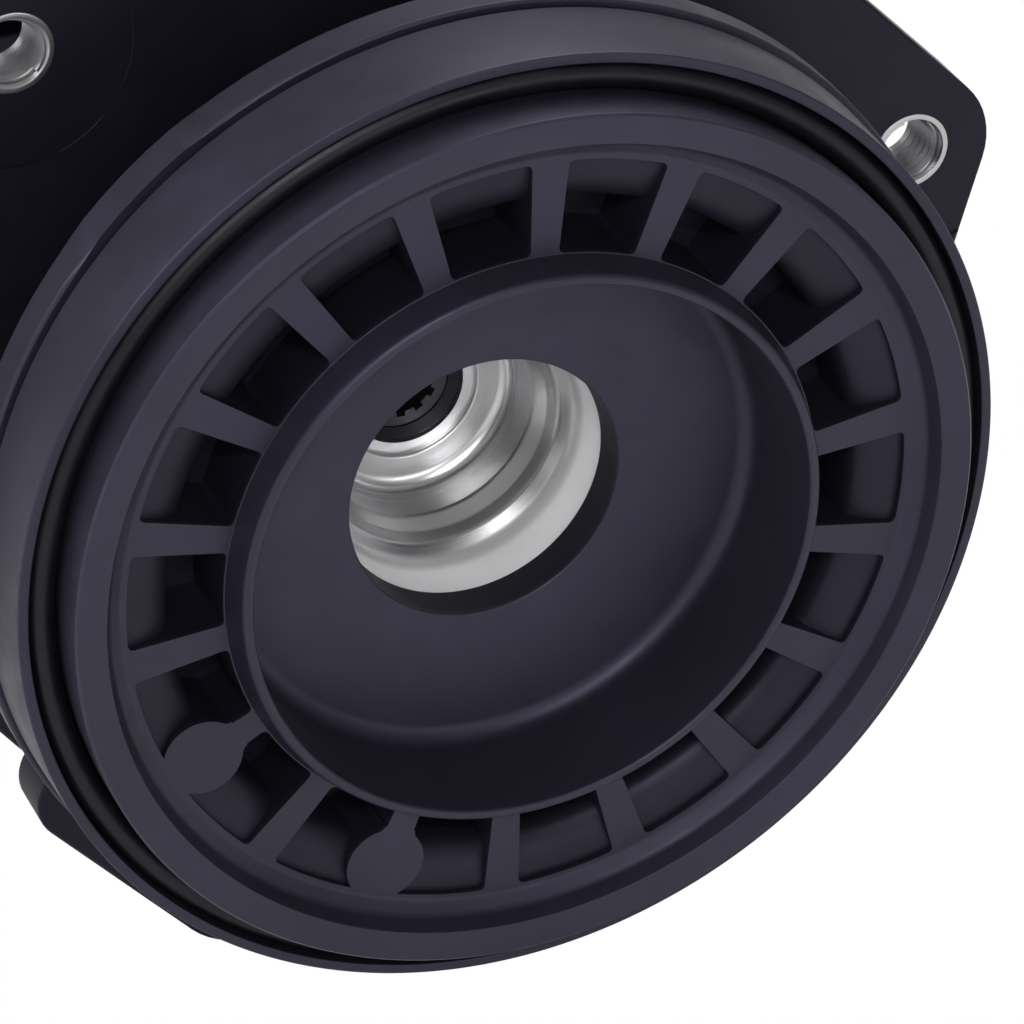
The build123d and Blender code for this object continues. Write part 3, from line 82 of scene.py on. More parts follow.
class Slot(Enum):
    """The record's material slots."""

    CASTING = "black_casting"
    SEAL = "seal_rubber"
    GASKET = "gasket"
    ZINC = "zinc_steel"
    BRIGHT = "bright_steel"
    BEARING = "bearing_steel"
    GEAR = "gear_steel"
    BLACK = "black_steel"
    ROTOR = "rotor_alloy"
    BRASS = "brass"
    COPPER = "copper_washer"
    NYLON = "nylon"
    CAN = "can_steel"
    SPRING = "spring_steel"


# ---- Mesh tools ----

def polar(radius: float, degrees: float) -> Point:
    """Point (x, z) at a radius and an angle from +X towards +Z."""
    return radius * math.cos(math.radians(degrees)), radius * math.sin(math.radians(degrees))


def rounded(corners: Sequence[Corner], steps: int = 5) -> list[Point]:
    """Rounds the corners of a closed outline.

    Args:
        corners: Points of the outline, each with its own fillet radius.
        steps: Runs in each fillet's arc.

    Returns:
        The outline with each fillet as short runs.
    """
    points: list[Point] = []
    for index, (across, along, fillet) in enumerate(corners):
        here = Vector((across, along))
        before = Vector(corners[index - 1][:2]) - here
        after = Vector(corners[(index + 1) % len(corners)][:2]) - here
        if fillet <= 0:
            points.append((across, along))
            continue
        half = before.angle(after) / 2
        reach = min(fillet / math.tan(half), 0.49 * before.length, 0.49 * after.length)
        radius = reach * math.tan(half)
        centre = here + (before.normalized() + after.normalized()).normalized() * (radius / math.sin(half))
        first = here + before.normalized() * reach - centre
        last = here + after.normalized() * reach - centre
        sweep = first.angle(last)
        for step in range(steps + 1):
            share = step / steps
            spoke = first * math.sin((1 - share) * sweep) + last * math.sin(share * sweep)
            points.append(tuple(centre + spoke / math.sin(sweep)))
    return points


def linked(name: str, data: bpy.types.ID) -> bpy.types.Object:
    """Links a new object to the scene.

    Args:
        name: The object's name.
        data: Its mesh, lamp or camera.

    Returns:
        The object.
    """
    made = bpy.data.objects.new(name, data)
    bpy.context.scene.collection.objects.link(made)
    return made


def smooth(mesh: bpy.types.Mesh, sharp: float = 30.0) -> None:
    """Shades a mesh smooth except across edges sharper than an angle in degrees."""
    mesh.shade_smooth()
    mesh.set_sharp_from_angle(angle=math.radians(sharp))


def to_object(name: str, shape: bmesh.types.BMesh) -> bpy.types.Object:
    """Turns a bmesh into a linked object with merged points and outward faces.

    Args:
        name: The piece's name.
        shape: The mesh, in metres; it is freed.

    Returns:
        The new object.
    """
    bmesh.ops.remove_doubles(shape, verts=shape.verts, dist=1e-7)
    bmesh.ops.recalc_face_normals(shape, faces=shape.faces)
    mesh = bpy.data.meshes.new(name)
    shape.to_mesh(mesh)
    shape.free()
    smooth(mesh)
    return linked(name, mesh)


def add_turned(shape: bmesh.types.BMesh, outline: Sequence[Point], segments: int,
               centre: Point = (0.0, 0.0)) -> None:
    """Adds a closed outline turned about a line along Y.

    Args:
        shape: The mesh that takes the faces.
        outline: Points (radius, y), in millimetres.
        segments: Runs in a full turn.
        centre: Place (x, z) of the line, in millimetres.
    """
    rings = []
    for step in range(segments):
        across, up = polar(1.0, 360 * step / segments)
        rings.append([shape.verts.new(((centre[0] + r * across) * MM, y * MM, (centre[1] + r * up) * MM))
                      for r, y in outline])
    for index, ring in enumerate(rings):
        beside = rings[(index + 1) % segments]
        for k in range(len(outline)):
            shape.faces.new((ring[k], ring[k - 1], beside[k - 1], beside[k]))


def add_prism(shape: bmesh.types.BMesh, outline: Sequence[Point], front: float, back: float) -> None:
    """Adds a solid with one outline from front to back.

    Args:
        shape: The mesh that takes the faces.
        outline: Points (x, z), in millimetres.
        front: The near end along Y, in millimetres.
        back: The far end along Y, in millimetres.
    """
    near = [shape.verts.new((x * MM, front * MM, z * MM)) for x, z in outline]
    far = [shape.verts.new((x * MM, back * MM, z * MM)) for x, z in outline]
    shape.faces.new(near)
    shape.faces.new(far[::-1])
    for index in range(len(outline)):
        shape.faces.new((near[index], near[index - 1], far[index - 1], far[index]))


def weighted_bevel(made: bpy.types.Object, width: float) -> None:
    """Rounds the edges that carry a bevel weight.

    Args:
        made: The piece.
        width: The bevel's width at full weight, in millimetres.
    """
    modifier = made.modifiers.new("edges", "BEVEL")
    modifier.width = width * MM
    modifier.segments = 2
    modifier.limit_method = "WEIGHT"
    modifier.harden_normals = True
    modifier.use_clamp_overlap = False


# ---- Nodes ----

class Nodes:
    """A node tree under construction."""

    def __init__(self, tree: bpy.types.NodeTree) -> None:
        """Takes the tree."""
        self.tree = tree

    def feed(self, target: Socket, value: object) -> None:
        """Links a socket to an input, or sets the input's value.

        Args:
            target: The input.
            value: A socket, a number, a vector or a colour without its alpha.
        """
        if isinstance(value, Socket):
            self.tree.links.new(value, target)
        elif target.type == "RGBA":
            target.default_value = (*value, 1.0)
        else:
            target.default_value = value

    def add(self, kind: str, settings: dict[str, object] | None = None, **links: object) -> bpy.types.Node:
        """Adds a node.

        Args:
            kind: The node's type.
            settings: Properties of the node.
            links: Input name, with underscores for spaces, or _ and its number, to a value or a socket.

        Returns:
            The node.
        """
        node = self.tree.nodes.new(kind)
        for key, value in (settings or {}).items():
            setattr(node, key, value)
        for key, value in links.items():
            place = int(key[1:]) if key[1:].isdigit() else key.replace("_", " ")
            self.feed(node.inputs[place], value)
        return node

    def sum(self, operation: str, *terms: float | Socket) -> Socket:
        """Adds a sum on numbers.

        Args:
            operation: The sum, such as MULTIPLY.
            terms: Its numbers or sockets, in order.

        Returns:
            The result's socket.
        """
        links = {f"_{index}": term for index, term in enumerate(terms)}
        return self.add("ShaderNodeMath", {"operation": operation}, **links).outputs[0]


class Maker(Nodes):
    """A Geometry Nodes tree with named inputs."""

    def __init__(self, name: str) -> None:
        """Starts a tree with a geometry input and a geometry output.

        Args:
            name: The tree's name.
        """
        super().__init__(bpy.data.node_groups.new(name, "GeometryNodeTree"))
        self.sockets: dict[str, str] = {}
        self.tree.interface.new_socket("Geometry", in_out="INPUT", socket_type="NodeSocketGeometry")
        self.tree.interface.new_socket("Geometry", in_out="OUTPUT", socket_type="NodeSocketGeometry")
        self.source = self.tree.nodes.new("NodeGroupInput")
        self.sink = self.tree.nodes.new("NodeGroupOutput")

    def option(self, name: str, kind: str) -> Socket:
        """Adds a named input.

        Args:
            name: The input's name.
            kind: Its type: Float, Int, Vector, Object or Material.

        Returns:
            Its socket inside the tree.
        """
        item = self.tree.interface.new_socket(name, in_out="INPUT", socket_type="NodeSocket" + kind)
        self.sockets[name] = item.identifier
        return self.source.outputs[name]

    def helix(self, radius: Socket, height: Socket, turns: Socket, steps: int) -> Socket:
        """Adds an upright helix about Z.

        Args:
            radius: Its radius.
            height: Its height.
            turns: Its number of turns.
            steps: Runs in a turn.

        Returns:
            The curve's socket.
        """
        helix = self.add("GeometryNodeCurveSpiral", Resolution=steps, Rotations=turns,
                         Start_Radius=radius, End_Radius=radius, Height=height)
        return self.add("GeometryNodeSetCurveNormal", {"mode": "Z_UP"}, Curve=helix.outputs[0]).outputs[0]

    def sweep(self, path: Socket, section: Socket, material: Socket) -> None:
        """Ends the tree in a section swept along a path.

        Args:
            path: The path's curve.
            section: The section's curve.
            material: The finish.
        """
        swept = self.add("GeometryNodeCurveToMesh", Curve=path, Profile_Curve=section, Fill_Caps=True)
        self.close(swept.outputs[0], material)

    def close(self, geometry: Socket, material: Socket) -> None:
        """Ends the tree in Realize Instances, merged seams and Set Material.

        Args:
            geometry: What the tree has made.
            material: The finish.
        """
        real = self.add("GeometryNodeRealizeInstances", Geometry=geometry)
        joined = self.add("GeometryNodeMergeByDistance", Geometry=real.outputs[0], Distance=1e-6)
        dressed = self.add("GeometryNodeSetMaterial", Geometry=joined.outputs[0], Material=material)
        self.tree.links.new(dressed.outputs[0], self.sink.inputs[0])

    def run(self, made: bpy.types.Object, name: str, **values: object) -> bpy.types.Object:
        """Evaluates the tree on an object.

        Args:
            made: The object that carries the tree's input mesh; it is removed.
            name: The result's name.
            values: Values of the named inputs, with underscores for spaces.

        Returns:
            A new object with a plain mesh.
        """
        modifier = made.modifiers.new("nodes", "NODES")
        modifier.node_group = self.tree
        for key, value in values.items():
            modifier[self.sockets[key.replace("_", " ")]] = value
        made.update_tag()
        bpy.context.view_layer.update()
        graph = bpy.context.evaluated_depsgraph_get()
        mesh = bpy.data.meshes.new_from_object(made.evaluated_get(graph))
        mesh.name = name
        made.modifiers.clear()
        bpy.data.objects.remove(made)
        return linked(name, mesh)

    def grow(self, name: str, **values: object) -> bpy.types.Object:
        """Evaluates a tree that needs no input mesh; the arguments are as in run."""
        return self.run(linked(name + "_seed", bpy.data.meshes.new(name + "_seed")), name, **values)


def ring_tree() -> Maker:
    """Makes a tree that repeats a mesh round the Y axis.

    Returns:
        The tree.
    """
    made = Maker("ring_of_copies")
    count = made.option("Count", "Int")
    material = made.option("Material", "Material")
    pitch = made.sum("DIVIDE", 2 * math.pi, count)
    index = made.add("GeometryNodeInputIndex").outputs[0]
    around = made.add("ShaderNodeCombineXYZ", Y=made.sum("MULTIPLY", index, pitch))
    line = made.add("GeometryNodeMeshLine", Count=count, Offset=(0.0, 0.0, 0.0))
    copies = made.add("GeometryNodeInstanceOnPoints", Points=line.outputs[0],
                      Instance=made.source.outputs[0], Rotation=around.outputs[0])
    made.close(copies.outputs[0], material)
    return made


def scatter_tree() -> Maker:
    """Makes a tree that puts a piece, turned by a seeded angle about its Z, on every point of a mesh.

    Returns:
        The tree.
    """
    made = Maker("pieces_on_points")
    piece = made.option("Piece", "Object")
    lay = made.option("Lay", "Vector")
    seed = made.option("Seed", "Int")
    material = made.option("Material", "Material")
    info = made.add("GeometryNodeObjectInfo", {"transform_space": "ORIGINAL"}, Object=piece)
    spin = made.add("FunctionNodeRandomValue", {"data_type": "FLOAT"}, Seed=seed, _2=0.0, _3=2 * math.pi)
    about = made.add("ShaderNodeCombineXYZ", Z=spin.outputs[1])
    copies = made.add("GeometryNodeInstanceOnPoints", Points=made.source.outputs[0],
                      Instance=info.outputs["Geometry"], Rotation=lay)
    spun = made.add("GeometryNodeRotateInstances", Instances=copies.outputs[0], Rotation=about.outputs[0])
    made.close(spun.outputs[0], material)
    return made


def thread_tree() -> Maker:
    """Makes a tree that sweeps a thread's ridge along a helix inside a hole along Z.

    Returns:
        The tree.
    """
    made = Maker("thread_ridge")
    radius = made.option("Radius", "Float")
    pitch = made.option("Pitch", "Float")
    length = made.option("Length", "Float")
    depth = made.option("Depth", "Float")
    foot = made.option("Foot", "Float")
    crest = made.option("Crest", "Float")
    material = made.option("Material", "Material")
    path = made.helix(radius, length, made.sum("DIVIDE", length, pitch), 64)
    section = made.add("GeometryNodeCurvePrimitiveQuadrilateral", {"mode": "TRAPEZOID"}, Height=depth,
                       Bottom_Width=made.sum("MULTIPLY", pitch, foot),
                       Top_Width=made.sum("MULTIPLY", pitch, crest), Offset=0.0)
    made.sweep(path, section.outputs[0], material)
    return made


def coil_tree() -> Maker:
    """Makes a tree that winds a round wire into a coil along Z.

    Returns:
        The tree.
    """
    made = Maker("wire_coil")
    radius = made.option("Radius", "Float")
    height = made.option("Height", "Float")
    turns = made.option("Turns", "Float")
    wire = made.option("Wire", "Float")
    material = made.option("Material", "Material")
    section = made.add("GeometryNodeCurvePrimitiveCircle", {"mode": "RADIUS"}, Resolution=12, Radius=wire)
    made.sweep(made.helix(radius, height, turns, 48), section.outputs[0], material)
    return made


# ---- Finishes ----

class Paint(Nodes):
    """A material under construction."""

    def __init__(self, name: str) -> None:
        """Starts a material with its shader and the piece's own coordinates.

        Args:
            name: The material's name.
        """
        self.material = bpy.data.materials.new(name)
        self.material.use_nodes = True
        super().__init__(self.material.node_tree)
        self.shader = self.tree.nodes["Principled BSDF"]
        self.place = self.tree.nodes.new("ShaderNodeTexCoord").outputs["Object"]

    def noise(self, scale: float, detail: float, place: Socket | None = None) -> Socket:
        """Adds noise.

        Args:
            scale: Grains per metre.
            detail: Finer layers of grain.
            place: Coordinates other than the piece's own.

        Returns:
            The noise's socket.
        """
        node = self.add("ShaderNodeTexNoise", Vector=place or self.place, Scale=scale, Detail=detail)
        return node.outputs["Fac"]

    def spread(self, value: Socket, low: float, high: float) -> Socket:
        """Maps a noise's middle range, clamped.

        Args:
            value: The noise.
            low: What its low end becomes.
            high: What its high end becomes.

        Returns:
            The mapped socket.
        """
        return self.add("ShaderNodeMapRange", Value=value, From_Min=0.3, From_Max=0.7,
                        To_Min=low, To_Max=high).outputs[0]

    def fade(self, value: Socket, over: Point, first: float, last: float) -> Socket:
        """Maps a length to a share, clamped.

        Args:
            value: The length, in metres.
            over: Where the fade starts and ends, in millimetres.
            first: The share before the start.
            last: The share past the end.

        Returns:
            The share's socket.
        """
        return self.add("ShaderNodeMapRange", Value=value, From_Min=over[0] * MM, From_Max=over[1] * MM,
                        To_Min=first, To_Max=last).outputs[0]

    def blend(self, share: Socket, first: Colour, second: Colour) -> Socket:
        """Mixes two colours.

        Args:
            share: How much of the second shows.
            first: The colour at nought.
            second: The colour at one.

        Returns:
            The colour's socket.
        """
        return self.add("ShaderNodeMix", {"data_type": "RGBA"}, _0=share, _6=first, _7=second).outputs[2]

    def scaled(self, colour: Socket, share: Socket) -> Socket:
        """Multiplies a colour by a share."""
        return self.add("ShaderNodeVectorMath", {"operation": "SCALE"}, Scale=share, _0=colour).outputs[0]

    def bump(self, height: Socket, depth: float, strength: float, under: Socket | None = None) -> Socket:
        """Adds relief.

        Args:
            height: The pattern.
            depth: Its depth in millimetres.
            strength: How much of it shows.
            under: Relief that it lies on.

        Returns:
            The normal's socket.
        """
        links = {"Height": height, "Distance": depth * MM, "Strength": strength}
        if under is not None:
            links["Normal"] = under
        return self.add("ShaderNodeBump", **links).outputs[0]

    def axial(self, centre: Point = (0.0, 0.0)) -> tuple[Socket, Socket]:
        """Measures a place from a line along Y.

        Args:
            centre: The line's place (x, z) in millimetres.

        Returns:
            The sockets of the distance from the line and of the place along Y.
        """
        centred = self.add("ShaderNodeMapping", Vector=self.place,
                           Location=(-centre[0] * MM, 0.0, -centre[1] * MM)).outputs[0]
        parts = self.add("ShaderNodeSeparateXYZ", Vector=centred)
        across = self.add("ShaderNodeCombineXYZ", X=parts.outputs[0], Y=parts.outputs[2]).outputs[0]
        radius = self.add("ShaderNodeVectorMath", {"operation": "LENGTH"}, _0=across).outputs["Value"]
        return radius, parts.outputs[1]

    def finish(self, **values: object) -> bpy.types.Material:
        """Feeds the shader.

        Args:
            values: Input name, with underscores for spaces, to a value or a socket.

        Returns:
            The material.
        """
        for key, value in values.items():
            self.feed(self.shader.inputs[key.replace("_", " ")], value)
        return self.material


@dataclass(frozen=True)
class CoatedCasting:
    """Satin black coat on a casting: fine grain, faint clouds, a sheen that varies a little, and painted shade
    towards the back and in listed recesses.
    """

    name: str = "satin_black_coat"
    dark: Colour = (0.0098, 0.0093, 0.0155)
    pale: Colour = (0.0145, 0.0138, 0.0225)
    rough: Point = (0.40, 0.50)
    gloss: float = 0.42
    tint: Colour = (0.74, 0.71, 1.0)
    clouds: float = 45.0
    grain: float = 3800.0
    grain_depth: float = 0.010
    waves: float = 220.0
    wave_depth: float = 0.02
    # Painted shade: colour and sheen fall to this share past the turn range along Y, in millimetres, behind
    # the front.
    painted_back_shade: float = 0.55
    turn: Point = (24.0, 36.0)
    # Radius bands (inner, outer, level) in millimetres that get painted shade past their level along Y.
    shades: tuple[Corner, ...] = ()
    shade_depth: float = 0.6
    shade: float = 0.38

    def build(self) -> bpy.types.Material:
        """Builds the material; painted shade darkens the colour and dims the sheen towards the back along Y,
        and more inside each listed radius band past its level.

        Returns:
            The material.
        """
        paint = Paint(self.name)
        clouds = paint.spread(paint.noise(self.clouds, 3.0), 0.0, 1.0)
        radius, along = paint.axial()
        # Painted shade: colour and sheen fade over the turn range along Y towards the back.
        share = paint.fade(along, self.turn, 1.0, self.painted_back_shade)
        # Painted shade in recesses: colour and sheen darker again inside each radius band past its level.
        for inner, outer, level in self.shades:
            past = paint.sum("GREATER_THAN", radius, inner * MM)
            short = paint.sum("LESS_THAN", radius, outer * MM)
            below = paint.fade(along, (level, level + self.shade_depth), 0.0, 1.0)
            amount = paint.sum("MULTIPLY", paint.sum("MULTIPLY", past, short), below)
            share = paint.sum("MULTIPLY", share, paint.sum("MULTIPLY_ADD", amount, -self.shade, 1.0))
        waves = paint.noise(self.waves, 2.0)
        relief = paint.bump(waves, self.wave_depth, 0.25)
        relief = paint.bump(paint.noise(self.grain, 2.0), self.grain_depth, 0.5, relief)
        return paint.finish(Base_Color=paint.scaled(paint.blend(clouds, self.dark, self.pale), share),
                            Roughness=paint.spread(waves, *self.rough), Normal=relief,
                            Specular_IOR_Level=paint.sum("MULTIPLY", share, self.gloss),
                            Specular_Tint=self.tint)


@dataclass(frozen=True)
class TurnedMetal:
    """Metal turned about an axis along Y: fine rings in its relief and its gloss."""

    name: str
    dark: Colour
    pale: Colour
    rough: Point = (0.22, 0.36)
    rings: float = 2400.0
    ring_depth: float = 0.006
    ring_strength: float = 0.35
    clouds: float = 90.0
    centre: Point = (0.0, 0.0)
    # Span along Y, in millimetres, of the blast finish; it also sets where the painted shade falls.
    blast_and_shade_span: Point = (0.0, 0.0)
    blast_grain: float = 2600.0
    blast_depth: float = 0.008
    blast_rough: float = 0.35
    matt: float = 0.25
    # Share of colour left past the span: painted shade deeper in the bore.
    deep: float = 0.6

    def build(self) -> bpy.types.Material:
        """Builds the material; a blast-finished mouth is matter than the rest, and painted shade darkens the
        colour deeper in.

        Returns:
            The material.
        """
        paint = Paint(self.name)
        radius, along = paint.axial(self.centre)
        place = paint.add("ShaderNodeCombineXYZ", X=radius, Y=along).outputs[0]
        rings = paint.noise(self.rings, 3.0, place)
        colour = paint.blend(paint.spread(paint.noise(self.clouds, 3.0), 0.0, 1.0), self.dark, self.pale)
        relief = paint.bump(rings, self.ring_depth, self.ring_strength)
        rough, metal = paint.spread(rings, *self.rough), 1.0
        if self.blast_and_shade_span[1] > 0:
            metal = paint.fade(along, self.blast_and_shade_span, self.matt, 1.0)
            sand = paint.fade(along, self.blast_and_shade_span, 1.0, 0.0)
            rough = paint.sum("MULTIPLY_ADD", sand, self.blast_rough, rough)
            relief = paint.bump(paint.noise(self.blast_grain, 2.0), self.blast_depth, 0.4, relief)
            # Painted shade: the colour darkens to the deep share past the span, deeper in the bore.
            colour = paint.scaled(colour, paint.fade(along, self.blast_and_shade_span, 1.0, self.deep))
        return paint.finish(Base_Color=colour, Metallic=metal, Roughness=rough, Normal=relief)


@dataclass(frozen=True)
class Metal:
    """Plain metal with fine random grain and clouded gloss."""

    name: str
    dark: Colour
    pale: Colour
    rough: Point = (0.25, 0.42)
    grain_depth: float = 0.008
    grain: float = 2200.0
    clouds: float = 120.0

    def build(self) -> bpy.types.Material:
        """Builds the material.

        Returns:
            The material.
        """
        paint = Paint(self.name)
        cloud = paint.noise(self.clouds, 4.0)
        return paint.finish(Base_Color=paint.blend(paint.spread(cloud, 0.0, 1.0), self.dark, self.pale),
                            Metallic=1.0, Roughness=paint.spread(cloud, *self.rough),
                            Normal=paint.bump(paint.noise(self.grain, 3.0), self.grain_depth, 0.5))


@dataclass(frozen=True)
class Soft:
    """Rubber, nylon or fibre sheet: no metal, fine grain."""

    name: str
    dark: Colour
    pale: Colour
    rough: Point = (0.45, 0.6)
    grain_depth: float = 0.01
    grain: float = 1800.0
    clouds: float = 150.0
    gloss: float = 0.5
    tint: Colour = (0.9, 0.85, 1.0)

    def build(self) -> bpy.types.Material:
        """Builds the material.

        Returns:
            The material.
        """
        paint = Paint(self.name)
        cloud = paint.noise(self.clouds, 3.0)
        return paint.finish(Base_Color=paint.blend(paint.spread(cloud, 0.0, 1.0), self.dark, self.pale),
                            Roughness=paint.spread(cloud, *self.rough), Specular_IOR_Level=self.gloss,
                            Specular_Tint=self.tint,
                            Normal=paint.bump(paint.noise(self.grain, 3.0), self.grain_depth, 0.5))


Finish = CoatedCasting | TurnedMetal | Metal | Soft
FINISHES: dict[Slot, Finish] = {
    # Castings get the coat's painted shade towards the back, on the gear case plate.
    Slot.CASTING: CoatedCasting(),
    Slot.SEAL: Soft("black_rubber", (0.003, 0.0027, 0.004), (0.005, 0.0045, 0.0065), (0.34, 0.46),
                    gloss=0.25),
    Slot.GASKET: Soft("fibre_sheet", (0.05, 0.05, 0.052), (0.10, 0.10, 0.105), (0.7, 0.85), 0.03),
    Slot.ZINC: Metal("zinc_plate", (0.52, 0.52, 0.50), (0.68, 0.68, 0.66)),
    Slot.BRIGHT: TurnedMetal("turned_bright_steel", (0.70, 0.70, 0.71), (0.82, 0.82, 0.83), (0.20, 0.30)),
    Slot.BEARING: TurnedMetal("ground_bearing_steel", (0.55, 0.56, 0.57), (0.66, 0.67, 0.68), (0.12, 0.2)),
    Slot.GEAR: Metal("gear_steel", (0.34, 0.34, 0.35), (0.46, 0.46, 0.47), (0.28, 0.4)),
    Slot.BLACK: Soft("phosphate_steel", (0.010, 0.010, 0.011), (0.020, 0.020, 0.021), (0.34, 0.46)),
    Slot.ROTOR: Metal("rotor_alloy", (0.60, 0.61, 0.62), (0.74, 0.75, 0.76), (0.25, 0.38)),
    Slot.BRASS: Metal("brass", (0.62, 0.46, 0.20), (0.76, 0.60, 0.30), (0.22, 0.36)),
    Slot.COPPER: Metal("copper", (0.62, 0.33, 0.20), (0.76, 0.45, 0.30), (0.3, 0.45)),
    Slot.NYLON: Soft("nylon", (0.70, 0.68, 0.60), (0.80, 0.78, 0.71), (0.4, 0.5)),
    Slot.CAN: Metal("passivated_steel", (0.50, 0.46, 0.34), (0.66, 0.60, 0.46), (0.24, 0.4)),
    Slot.SPRING: Metal("spring_wire", (0.40, 0.40, 0.41), (0.52, 0.52, 0.53)),
}
COATS: dict[Slot, bpy.types.Material] = {}


def coat(slot: Slot) -> bpy.types.Material:
    """Finds the material of a slot, built once.

    Args:
        slot: The slot.

    Returns:
        Its material.
    """
    if slot not in COATS:
        COATS[slot] = FINISHES[slot].build()
    return COATS[slot]


def settle(made: bpy.types.Object, body: str, slot: Slot, *nodes: str,
           paint: bpy.types.Material | None = None) -> bpy.types.Object:
    """Dresses a new piece, hangs it on its body and hides the solids that it stands for.

    Args:
        made: The piece.
        body: The body that it rides on.
        slot: The slot that it takes its finish from.
        nodes: The solids that it replaces.
        paint: A finish of its own, for a piece that has none yet.

    Returns:
        The piece.
    """
    if not made.data.materials or made.data.materials[0] is None:
        made.data.materials.clear()
        made.data.materials.append(paint or coat(slot))
    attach(made, body)
    if nodes:
        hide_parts(*nodes)
    LOG.info("piece %s on %s stands for %s", made.name, body, ", ".join(nodes) or "nothing else")
    return made


# ---- Sub-assemblies ----

@dataclass
class FrontCover:
    """Ribbed drive-end cover: hub recess, crest, pockets between ribs, spigot ring and seal groove."""

    rim: float = 60.0
    band: float = 60.25
    back: float = 11.6
    spigot: float = 55.0
    spigot_inside: float = 51.2
    spigot_front: float = -5.0
    groove: float = 58.7
    groove_floor: float = 3.8
    hole: float = 16.75
    boss: float = 21.5
    boss_back: float = 15.5
    recess: float = 33.9
    recess_floor: float = 10.4
    crest: Point = (34.15, 35.35)
    crest_front: float = -5.1
    ribs: int = 18
    rib_phase: float = 6.4
    rib_angle: float = 5.25
    web: float = -1.45
    pocket_in: float = 36.5
    pocket_out: float = 47.9
    crown: float = 42.0
    ledge: float = -0.6
    fall: float = 2.9
    deep: float = 8.5
    corner: float = 0.7
    edge: float = 0.11
    pads: tuple[int, ...] = (10, 12)
    pad_circle: float = 44.1
    pad_radius: float = 4.8
    pad_proud: float = 0.003
    pad_root: float = 0.5
    neck: float = 1.0
    # Painted shade in the pockets (radii 35.9 to 48.2 mm) and down the hub bore (inside 17 mm).
    finish: CoatedCasting = CoatedCasting("satin_black_cover", shades=((35.9, 48.2, -1.3), (0.0, 17.0, 10.7)))

    def outline(self) -> list[Point]:
        """Draws the half section outside the pockets.

        Returns:
            Points (radius, y) from the web's outer end, round the back, to the web's inner end.
        """
        corners = [
            (self.pocket_out, self.web, 0.0), (self.pocket_out + 0.7, self.web, 1.2),
            (self.spigot_inside - 0.9, self.web - 1.0, 1.6),
            (self.spigot_inside, self.spigot_front + 0.4, 0.18),
            (self.spigot - 0.3, self.spigot_front, 0.12), (self.spigot, self.spigot_front + 0.32, 0.12),
            (self.spigot, 0.0, 0.0), (self.spigot - 0.15, 0.1, 0.0),
            (self.spigot - 0.15, self.groove_floor, 0.9), (self.groove, self.groove_floor, 0.9),
            (self.groove, 0.0, 0.16), (self.rim, 0.0, 0.25), (self.band, self.back, 0.25),
            (self.boss, self.back, 0.0), (self.boss, self.boss_back, 0.3), (self.hole, self.boss_back, 0.0),
            (self.hole, self.recess_floor, 0.3), (self.recess, self.recess_floor, 2.2),
            (self.crest[0], self.crest_front, 0.45), (self.crest[1], self.crest_front, 0.95),
            (self.crest[1] + 1.0, self.web, 0.5), (self.pocket_in, self.web, 0.0),
        ]
        return rounded(corners, 6)

    def radii(self) -> tuple[list[float], list[float]]:
        """Spaces the points of a pocket's side wall.

        Returns:
            The radii over the shoulder, and those over the deep part.
        """
        arc = [self.corner * (1 - math.cos(math.radians(a))) for a in (0, 30, 50, 70, 90)]
        outer = [self.pocket_out - step for step in arc]
        span = self.pocket_out - self.crown
        outer += [self.pocket_out - span * share for share in (0.22, 0.36, 0.5, 0.63, 0.75, 0.85, 0.93, 1.0)]
        return outer, [self.pocket_in + step for step in reversed(arc)]

    def floor(self, radius: float) -> float:
        """Finds the depth of a pocket's bottom: a rounded shoulder, then the flat floor.

        Args:
            radius: Where, in millimetres.

        Returns:
            The depth in millimetres.
        """
        share = (self.pocket_out - radius) / (self.pocket_out - self.crown)
        if share > 1:
            return self.deep
        return self.ledge + self.fall * (1 - math.sqrt(max(0.0, 1 - share * share)))

    def lean(self, radius: float) -> float:
        """Finds how far a pocket's rounded corner draws its side in.

        Args:
            radius: Where, in millimetres.

        Returns:
            The angle in degrees.
        """
        past = max(radius - (self.pocket_out - self.corner), self.pocket_in + self.corner - radius, 0.0)
        if past > self.corner + 1e-6:
            return 0.0
        past = min(past, self.corner)
        return math.degrees((self.corner - math.sqrt(self.corner**2 - past**2)) / radius)

    def sector(self) -> bpy.types.Object:
        """Builds one rib and one pocket of the cover, from its front to its back.

        Returns:
            The sector, with the pocket's mouth weighted for a bevel.
        """
        shape = bmesh.new()
        weight = shape.edges.layers.float.new("bevel_weight_edge")
        verts: dict[tuple[float, float, float], bmesh.types.BMVert] = {}
        pitch = 360 / self.ribs

        def corner(radius: float, y: float, station: float) -> bmesh.types.BMVert:
            """Finds or makes a point of the sector.

            Args:
                radius: Its radius, in millimetres.
                y: Its place along Y, in millimetres.
                station: 0 to 1 over the rib and 1 to 2 over the pocket.

            Returns:
                The point.
            """
            lean = self.lean(radius)
            edges = (-lean, self.rib_angle + lean, pitch - lean)
            start, stop = edges[:2] if station <= 1 else edges[1:]
            angle = start + (stop - start) * (station if station <= 1 else station - 1)
            key = (round(radius, 4), round(y, 4), round(angle, 4))
            if key not in verts:
                x, z = polar(radius, angle)
                verts[key] = shape.verts.new((x * MM, y * MM, z * MM))
            return verts[key]

        def strip(line: Sequence[Point], stations: Sequence[float]) -> None:
            """Adds the faces between a line and its turned copies.

            Args:
                line: Points (radius, y).
                stations: Where the copies stand.
            """
            for a, b in zip(stations, stations[1:]):
                for (r, y), (s, w) in zip(line, line[1:]):
                    shape.faces.new((corner(r, y, a), corner(s, w, a), corner(s, w, b), corner(r, y, b)))

